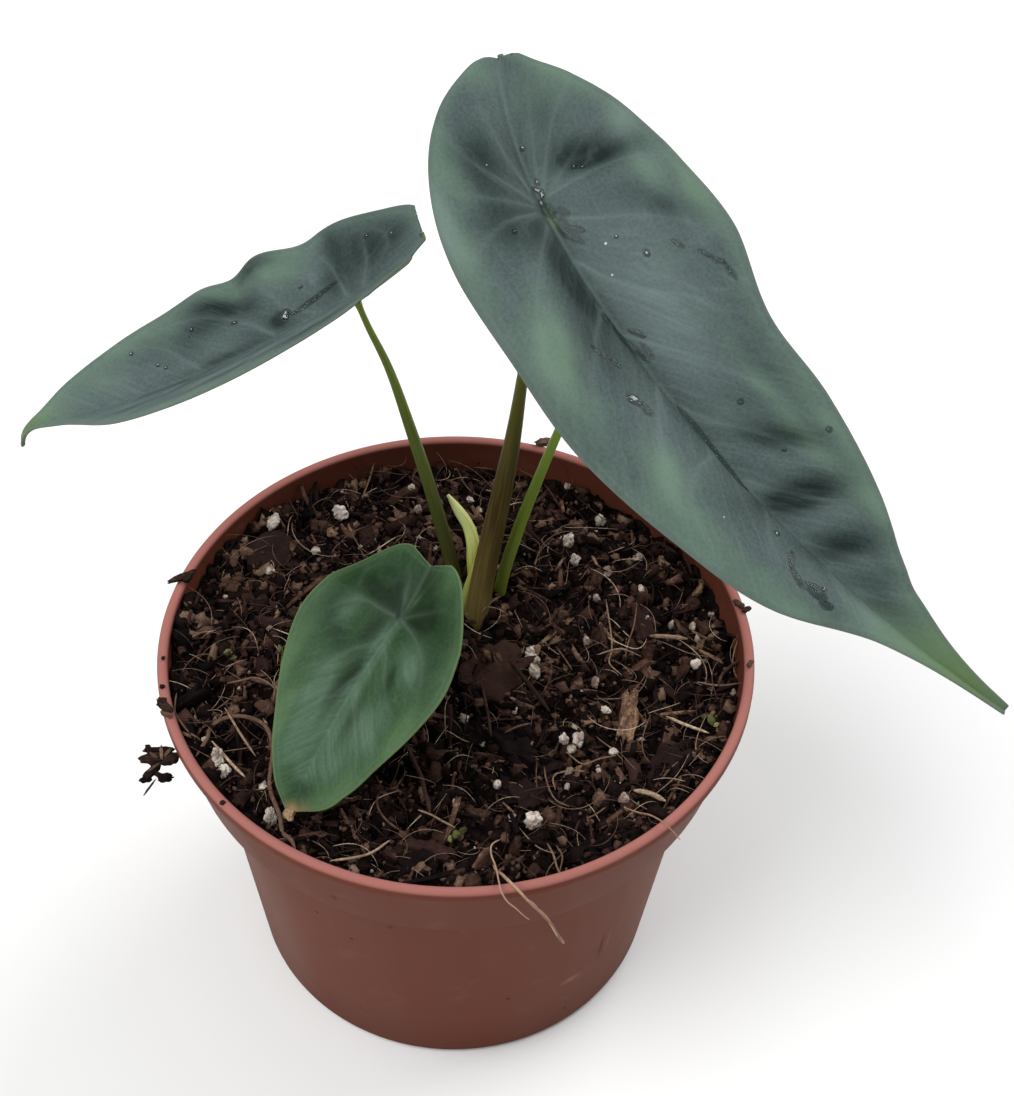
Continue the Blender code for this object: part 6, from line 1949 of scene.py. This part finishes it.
def strew(name, top, kind, where, count, spread, seed, finish):
    """Strew pieces of one kind over the soil's top and keep them as one mesh."""
    area = math.pi * SOIL_EXTRAS_RADIUS ** 2
    tree = bpy.data.node_groups.get("Strew over soil") or scatter_tree()
    smallest, largest, tilt, lift = spread
    pieces = variants(kind)
    mesh = grown(name, top.copy(), tree, {
        "Where": where, "Per square metre": count / area, "Smallest": smallest,
        "Largest": largest, "Tilt": tilt, "Lift": lift * MM, "Seed": seed, "Pieces": pieces,
        "Finish": finish})
    remove_group(pieces)
    pull_in(mesh)
    return keep(name, mesh, finish)


def pull_in(mesh):
    """Bring whatever would touch the pot's wall back inside it."""
    places = np.empty(len(mesh.vertices) * 3)
    mesh.vertices.foreach_get("co", places)
    places = places.reshape(-1, 3)
    radius = np.hypot(places[:, 0], places[:, 1])
    limit = np.where(places[:, 2] > POT_HEIGHT, np.inf, SOIL_EXTRAS_RADIUS + 0.5 * MM)
    slim = np.minimum(1.0, limit / np.maximum(radius, 1e-6))
    places[:, :2] *= slim[:, None]
    mesh.vertices.foreach_set("co", places.ravel())
    mesh.update()


def slab_shape(length, width, shift):
    """Working shape of a slab with split layers and ragged edges; length and width in
    millimetres."""
    shape = divided_cube(SLAB_CUTS)
    for vert in shape.verts:
        flat = Vector((vert.co.x, vert.co.y, 0.0))
        outline = 1.0 + 0.42 * noise.noise(flat * 1.4 + shift)
        outline += 0.16 * noise.noise(flat * 4 + shift)
        outline *= 1.0 - 0.12 * (abs(vert.co.x) * abs(vert.co.y)) ** 2
        layers = noise.noise(Vector((vert.co.x * 0.9, vert.co.y * 4.0, vert.co.z)) + shift)
        fine = noise.noise(Vector((vert.co.x * 3, vert.co.y * 9, vert.co.z * 3)) + shift)
        split = math.floor(4.0 * noise.noise(flat * 1.3 + 2 * shift)) / 4.0
        thick = 1.0 + 0.28 * layers + 0.1 * fine + 0.7 * split
        vert.co.x *= 0.5 * length * outline * (1.0 + 0.05 * layers)
        vert.co.y *= 0.5 * width * outline * (1.0 + 0.08 * fine)
        vert.co.z = vert.co.z * 0.5 * SLAB_THICKNESS / MM * thick
        vert.co *= MM
    return shape


def make_slabs(finish):
    """Bark slabs that can be told apart, bedded in the soil."""
    rng = np.random.default_rng(5)
    joined = bmesh.new()
    for number, (x, y, length, width, rise, turn, tone) in enumerate(SLABS):
        shape = slab_shape(length, width, Vector((number * 3.1, number * 1.7, number * 5.3)))
        height = soil_height(x * MM, y * MM) + rise * MM - SLAB_THICKNESS / 2
        tilt = rng.uniform(-0.15, 0.15, 2).tolist()
        place_shape(shape, tilt + [math.radians(turn)], (x * MM, y * MM, height))
        join_shape(joined, shape, tone)
    mesh = mesh_of("slabs", joined)
    pull_in(mesh)
    return keep("bark_slabs", mesh, finish)


def make_grains(name, rows, finish, sink):
    """Broken grains that can be told apart; sink is how deep they sit, from 0 to 1. The
    largest ones are clean."""
    rng = np.random.default_rng(8)
    joined = bmesh.new()
    for number, (x, y, radius) in enumerate(rows):
        shape = bmesh.new()
        fineness = 4 if radius > FINE_RADIUS else 3
        bmesh.ops.create_icosphere(shape, subdivisions=fineness, radius=1.0)
        shift = Vector((number * 2.3, number * 4.1, number * 0.7))
        stretch = rng.uniform(0.7, 1.3, 3)
        turned = Euler(rng.uniform(-3, 3, 3)).to_matrix()
        drawn = float(rng.uniform(0, 1))
        height = soil_height(x * MM, y * MM) + (1.0 - sink) * radius * MM + 0.4 * MM
        for vert in shape.verts:
            bumps = 0.5 * noise.noise(vert.co * 1.1 + shift)
            bumps += 0.28 * noise.noise(vert.co * 2.6 + shift)
            bumps += 0.12 * noise.noise(vert.co * 6 + shift)
            swollen = vert.co * (1.0 + bumps) * radius * MM
            place = turned @ Vector([c * s for c, s in zip(swollen, stretch)])
            vert.co = place + Vector((x * MM, y * MM, height))
        join_shape(joined, shape, CLEAN_TONE if radius > CLEAN_RADIUS else drawn)
    mesh = mesh_of(name, joined)
    pull_in(mesh)
    return keep(name, mesh, finish)


def hand_fibres(finish):
    """Roots and straws that can be told apart on the soil."""
    paths = []
    for radius, tone, lift, *points in HAND_FIBRES:
        rows = []
        for x, y, *own in points:
            height = own[0] if own else lift
            rows.append((
                x * MM, y * MM, soil_height(x * MM, y * MM) + height * MM, radius * MM))
        path = smooth_path(rows, 8 * len(rows))
        ends = np.minimum(np.arange(len(path)), np.arange(len(path))[::-1])
        path[:, 3] *= np.clip(0.35 + ends / 6.0, 0.0, 1.0)
        paths.append(with_tone(path, tone))
    mesh = rods("hand_fibres", paths, 8, finish)
    pull_in(mesh)
    return keep("root_fibres", mesh, finish)


def make_soil(looks):
    """Ground, crumbs, chips, slivers, fibres, slabs and perlite."""
    finishes = {name: litter_finish(name) for name in SOIL_LITTERS}
    finishes["expanded_perlite"] = expanded_perlite()
    top = strewing_surface(make_ground(finishes["damp_bark_crumbs"]))
    make_slabs(finishes["split_pine_bark"])
    make_grains("perlite_large", GRAINS, finishes["expanded_perlite"], 0.6)
    make_grains("green_crumbs", GREEN_CRUMBS, finishes["algae_on_bark"], 0.4)
    hand_fibres(finishes["coir_and_straw"])
    for number, (name, amount, kind, where, *spread, finish) in enumerate(STREWN):
        count = getattr(looks, amount)
        strew(name, top, kind, where, count, spread, looks.seed + number, finishes[finish])
    bpy.data.meshes.remove(top)


# Scraps on the rim

def make_splinters(name, rows, first_seed, finish, nodes=()):
    """Ragged splinters as one piece. Each row has x, y, z, length, width and height in
    millimetres, the turn in degrees, and the tone."""
    joined = bmesh.new()
    for seed, (x, y, z, length, width, height, turn, tone) in enumerate(rows, first_seed):
        shape = divided_cube(SPLINTER_CUTS)
        shift = Vector((seed * 3.3, seed * 1.1, seed * 2.7))
        for vert in shape.verts:
            torn = Vector((vert.co.x * 2, vert.co.y * 6, vert.co.z * 4))
            rough = 1.0 + 0.35 * noise.noise(vert.co * 1.6 + shift)
            rough += 0.22 * noise.noise(torn + shift)
            point = 1.0 - 0.55 * max(0.0, abs(vert.co.x) - 0.55) / 0.45
            vert.co = Vector((
                0.5 * length * vert.co.x * rough, 0.5 * width * vert.co.y * rough * point,
                0.5 * height * vert.co.z * rough * point)) * MM
        place_shape(shape, (0.1, 0.12, math.radians(turn)), (x * MM, y * MM, z * MM))
        join_shape(joined, shape, tone)
    return keep(name, mesh_of(name, joined), finish, nodes)


def make_scraps():
    """The scrap of bark that clings under the lip, and the litter on the rim."""
    bark = litter_finish("weathered_bark")
    make_splinters("clinging_bark", SCRAP_SHREDS, 1, bark, ("bark_scrap",))
    litter = [(*row[:5], 0.7 * row[4], *row[5:]) for row in RIM_SCRAPS]
    make_splinters("rim_litter", litter, 9, bark)


def make_dry_tip():
    """Withered tip of the small leaf."""
    end = leaf_points(SMALL_LEAF, np.array([1.0]), np.array([0.0]))[0][0]
    rows = [(end[0] + x, end[1] + y, end[2] + z, *rest) for x, y, z, *rest in DRY_TIP]
    make_splinters("dry_tip", rows, 31, litter_finish("withered_leaf"))


def make_rim_fibres():
    """Coir fibres over the rim: the thick one frays into strands at its end."""
    coir = litter_finish("dry_coir")
    main_path = smooth_path(in_metres(RIM_FIBRE), 60)
    share = np.linspace(0, 1, len(main_path))
    paths = []
    for strand in range(RIM_STRANDS):
        path = main_path.copy()
        wander = np.stack([
            roughness_at(np.stack([share, 0 * share, 0 * share], 1), 0.22, strand * 3 + k)
            for k in range(3)], 1)
        path[:, :3] += wander * 0.30 * MM * (0.4 + share[:, None])
        path[:, 3] *= 0.55
        path[-8:, 3] *= np.linspace(1.0, 0.25, 8)
        path[:4, 3] *= np.linspace(0.3, 1.0, 4)
        paths.append(with_tone(path, 0.45 + 0.18 * strand))
    for points, tone in ((THIN_RIM_FIBRE, 0.75), (RIGHT_RIM_FIBRE, 0.5), (RIM_TWIG, 0.7)):
        paths.append(with_tone(smooth_path(in_metres(points), 50), tone))
    mesh = rods("rim_fibres", paths, 10, coir)
    return keep("coir_over_rim", mesh, coir, ("rim_fibre",))


# Crown

def dress_crown():
    """Root skin for the buried crown, which keeps its solid."""
    node = frame["nodes"]["crown"]
    node.data.materials.clear()
    node.data.materials.append(litter_finish("root_skin"))


# Stage

def add_light(name, place, size, power):
    """Round soft light that shines on the plant."""
    data = bpy.data.lights.new(name, "AREA")
    data.shape = "DISK"
    data.size = size
    data.energy = power
    aim = (Vector(LIGHT_AIM) - Vector(place)).to_track_quat("-Z", "Y")
    light = add_object(name, data)
    light.matrix_world = Matrix.Translation(place) @ aim.to_matrix().to_4x4()


def make_stage(looks):
    """Camera, floor, pale surroundings and two soft lights."""
    scene = bpy.context.scene
    camera = add_object("camera", bpy.data.cameras.new("camera"))
    axes = np.array([CAMERA_RIGHT, [-c for c in CAMERA_DOWN], [-c for c in CAMERA_AHEAD]])
    turn = Matrix(axes.T.tolist()).to_4x4()
    camera.matrix_world = Matrix.Translation(CAMERA_PLACE) @ turn
    camera.data.sensor_fit = "AUTO"
    camera.data.sensor_width = SENSOR_MM
    camera.data.lens = SENSOR_MM * FOCAL_PIXELS / max(PHOTO_WIDTH, PHOTO_HEIGHT)
    camera.data.clip_start = 0.01
    scene.camera = camera
    shape = bmesh.new()
    bmesh.ops.create_grid(shape, x_segments=8, y_segments=8, size=FLOOR_SIZE / 2)
    mesh = mesh_of("floor", shape)
    mesh.materials.append(matt_floor(looks))
    add_object("floor", mesh)
    add_light("key", KEY_PLACE, KEY_SIZE, looks.key_power)
    add_light("fill", FILL_PLACE, FILL_SIZE, looks.fill_power)
    world = bpy.data.worlds.new("pale_surroundings")
    scene.world = world
    world.use_nodes = True
    sky = world.node_tree.nodes["Background"]
    set_inputs(world.node_tree, sky, {
        "Color": (*looks.sky_colour, 1.0), "Strength": looks.sky_strength})
    scene.view_settings.view_transform = "Standard"
    scene.view_settings.look = "None"


# Settings

class PotLooks(bpy.types.PropertyGroup):
    """Sizes and colours of the pot's finish."""

    steps: IntProperty(
        name="Steps", description="Steps round the turned pot", default=220, min=24)
    roughness: FloatProperty(
        name="Roughness", description="How dull the plastic is", default=0.44,
        subtype="FACTOR", min=0.0, max=1.0)
    colour: FloatVectorProperty(
        name="Colour", description="Colour of the plastic", subtype="COLOR",
        default=linear("#68392b"))
    # The lip's colour: worn plastic, and painted highlight where the light from above falls on it.
    lip_wear_and_highlight_colour: FloatVectorProperty(
        name="Lip colour", description="Colour of the worn lip", subtype="COLOR",
        default=linear("#a16860"))


class LeafLooks(bpy.types.PropertyGroup):
    """Relief and colours of the leaves."""

    relief: FloatProperty(
        name="Relief", description="How deep the veins are set, 1 for the real plant",
        default=1.0, subtype="FACTOR", min=0.0, max=3.0)
    # Specks: grains of dust, and painted glints of tiny drops.
    specks: FloatProperty(
        name="Specks", description="Share of places with a speck of dust or spray",
        default=0.14, subtype="FACTOR", min=0.0, max=1.0)
    slate: FloatVectorProperty(
        name="Slate", description="Body of the large leaves", subtype="COLOR",
        default=linear("#455250"))
    soft_green: FloatVectorProperty(
        name="Soft green", description="Patches and margins of the large leaves",
        subtype="COLOR", default=linear("#617865"))
    fresh_green: FloatVectorProperty(
        name="Fresh green", description="Body of the small leaves", subtype="COLOR",
        default=linear("#2b4425"))


class SoilLooks(bpy.types.PropertyGroup):
    """How much of each thing lies on the soil."""

    seed: IntProperty(name="Seed", description="Seed of the strewing", default=21)
    crumbs: IntProperty(
        name="Crumbs", description="Crumbs over the whole top", default=2300, min=0)
    fines: IntProperty(
        name="Fines", description="Fine crumbs over the whole top", default=5200, min=0)
    chips: IntProperty(name="Chips", description="Chips of bark", default=210, min=0)
    slivers: IntProperty(name="Slivers", description="Slivers of wood", default=520, min=0)
    fibres: IntProperty(name="Fibres", description="Coir fibres", default=900, min=0)
    perlite: IntProperty(name="Perlite", description="Small grains of perlite", default=75, min=0)


class StageLooks(bpy.types.PropertyGroup):
    """Floor, surroundings and lights."""

    floor_colour: FloatVectorProperty(
        name="Floor colour", description="Colour of the floor", subtype="COLOR",
        default=linear("#f3f3f1"))
    sky_colour: FloatVectorProperty(
        name="Sky colour", description="Colour of the pale surroundings", subtype="COLOR",
        default=linear("#f4f7fa"))
    sky_strength: FloatProperty(
        name="Sky strength", description="Brightness of the surroundings", default=0.53,
        min=0.0)
    key_power: FloatProperty(
        name="Key power", description="Power of the key light", default=15.5, min=0.0,
        subtype="POWER", unit="POWER")
    fill_power: FloatProperty(
        name="Fill power", description="Power of the fill light", default=14.0, min=0.0,
        subtype="POWER", unit="POWER")


# Operators

def leaf_colours(looks):
    """Colours of the large leaves and of the small ones."""
    # The hollow colour is painted shade, the pale colour serves both the leaf's paler tone and
    # painted sheen, and the speck colour both dust and painted glints.
    slate = {
        "body": (*looks.slate, 1.0), "green": (*looks.soft_green, 1.0),
        "pale": paint("#6a7977"), "hollow": paint("#1c2724"), "vein": paint("#7c8c88"),
        "tip": paint("#667f44"), "rim": paint("#667068"), "under": paint("#5c6b52"),
        "wet": paint("#172019"), "speck": paint("#c4ccc6"), "under_vein": paint("#8b9a72")}
    fresh = {
        "body": (*looks.fresh_green, 1.0), "green": paint("#45603a"),
        "pale": paint("#5d7663"), "hollow": paint("#142410"), "vein": paint("#76897d"),
        "tip": paint("#8c7350"), "rim": paint("#6c8258"), "under": paint("#61754d"),
        "wet": paint("#1a2c18"), "speck": paint("#c4ccc6"), "under_vein": paint("#90a070")}
    return slate, fresh


class ALOCASIA_OT_stage(bpy.types.Operator):
    """Camera, floor, surroundings and lights."""

    bl_idname = "alocasia.stage"
    bl_label = "Stage"

    def execute(self, context):
        make_stage(context.scene.alocasia_stage)
        return {"FINISHED"}


class ALOCASIA_OT_pot(bpy.types.Operator):
    """The plastic pot."""

    bl_idname = "alocasia.pot"
    bl_label = "Pot"

    def execute(self, context):
        make_pot(context.scene.alocasia_pot)
        return {"FINISHED"}


class ALOCASIA_OT_leaves(bpy.types.Operator):
    """The four leaf blades."""

    bl_idname = "alocasia.leaves"
    bl_label = "Leaves"

    def execute(self, context):
        looks = context.scene.alocasia_leaf
        slate, fresh = leaf_colours(looks)
        large = leaf_skin("slate_leaf_skin", slate, looks.specks, 0.26, 0.26)
        small = leaf_skin("green_leaf_skin", fresh, 0.3 * looks.specks, 0.2, 0.12)
        for key, leaf, marks, _, size in LEAVES:
            finish = large if key in ("big", "left") else small
            make_leaf(key, leaf, marks, size, finish, looks.relief)
        return {"FINISHED"}


class ALOCASIA_OT_water(bpy.types.Operator):
    """Drops and films of water on the large leaves."""

    bl_idname = "alocasia.water"
    bl_label = "Water"

    def execute(self, context):
        films, beads = still_water("water_film", 0.2, 0.3), still_water("water_bead", 0.5, 1.0)
        relief_depth = context.scene.alocasia_leaf.relief
        for key, leaf, marks, _, _ in LEAVES:
            if marks["water"]:
                make_water(key, leaf, marks, films, beads, relief_depth)
        return {"FINISHED"}


class ALOCASIA_OT_stalks(bpy.types.Operator):
    """The stalks, with the sheath of the big one."""

    bl_idname = "alocasia.stalks"
    bl_label = "Stalks"

    def execute(self, context):
        for key, leaf, _, points, _ in LEAVES:
            finish = stalk_skin("stalk_skin_" + key, *STALK_COLOURS[key])
            make_stalk(key, leaf, points, STALK_TOP_RADII[key], finish)
        make_sheath(stalk_skin("pale_sheath", "#6d7434", "#8f9448", "#a5a35c"))
        return {"FINISHED"}


class ALOCASIA_OT_shoot(bpy.types.Operator):
    """The young leaf that is still rolled."""

    bl_idname = "alocasia.shoot"
    bl_label = "Shoot"

    def execute(self, context):
        make_shoot(stalk_skin("young_leaf_skin", "#788320", "#a3ac34", "#dadf98"))
        return {"FINISHED"}


class ALOCASIA_OT_soil(bpy.types.Operator):
    """Soil with everything that lies on it."""

    bl_idname = "alocasia.soil"
    bl_label = "Soil"

    def execute(self, context):
        make_soil(context.scene.alocasia_soil)
        dress_crown()
        return {"FINISHED"}


class ALOCASIA_OT_scraps(bpy.types.Operator):
    """Bark and coir on the rim."""

    bl_idname = "alocasia.scraps"
    bl_label = "Scraps on the rim"

    def execute(self, context):
        make_scraps()
        make_rim_fibres()
        make_dry_tip()
        return {"FINISHED"}


OPERATORS = (
    ALOCASIA_OT_stage, ALOCASIA_OT_pot, ALOCASIA_OT_leaves, ALOCASIA_OT_water,
    ALOCASIA_OT_stalks, ALOCASIA_OT_shoot, ALOCASIA_OT_soil, ALOCASIA_OT_scraps,
)


class ALOCASIA_PT_pieces(bpy.types.Panel):
    """The pieces of the plant, in the order they are made."""

    bl_idname = "ALOCASIA_PT_pieces"
    bl_label = "Potted alocasia"
    bl_space_type = "VIEW_3D"
    bl_region_type = "UI"
    bl_category = "Alocasia"

    def draw(self, context):
        for operator in OPERATORS:
            self.layout.operator(operator.bl_idname)
        for key in SETTINGS:
            settings = getattr(context.scene, key)
            for name in settings.__annotations__:
                self.layout.prop(settings, name)


SETTINGS = {
    "alocasia_pot": PotLooks, "alocasia_leaf": LeafLooks, "alocasia_soil": SoilLooks,
    "alocasia_stage": StageLooks,
}


def register():
    """Register the settings, operators and panel."""
    for key, group in SETTINGS.items():
        bpy.utils.register_class(group)
        setattr(bpy.types.Scene, key, PointerProperty(type=group))
    for operator in OPERATORS:
        bpy.utils.register_class(operator)
    bpy.utils.register_class(ALOCASIA_PT_pieces)


def unregister():
    """Take the panel, operators and settings away again."""
    bpy.utils.unregister_class(ALOCASIA_PT_pieces)
    for operator in reversed(OPERATORS):
        bpy.utils.unregister_class(operator)
    for key, group in SETTINGS.items():
        delattr(bpy.types.Scene, key)
        bpy.utils.unregister_class(group)


def main():
    """Make every piece in order."""
    register()
    bpy.ops.alocasia.stage()
    bpy.ops.alocasia.pot()
    bpy.ops.alocasia.leaves()
    bpy.ops.alocasia.water()
    bpy.ops.alocasia.stalks()
    bpy.ops.alocasia.shoot()
    bpy.ops.alocasia.soil()
    bpy.ops.alocasia.scraps()


if __name__ == "__main__":
    main()
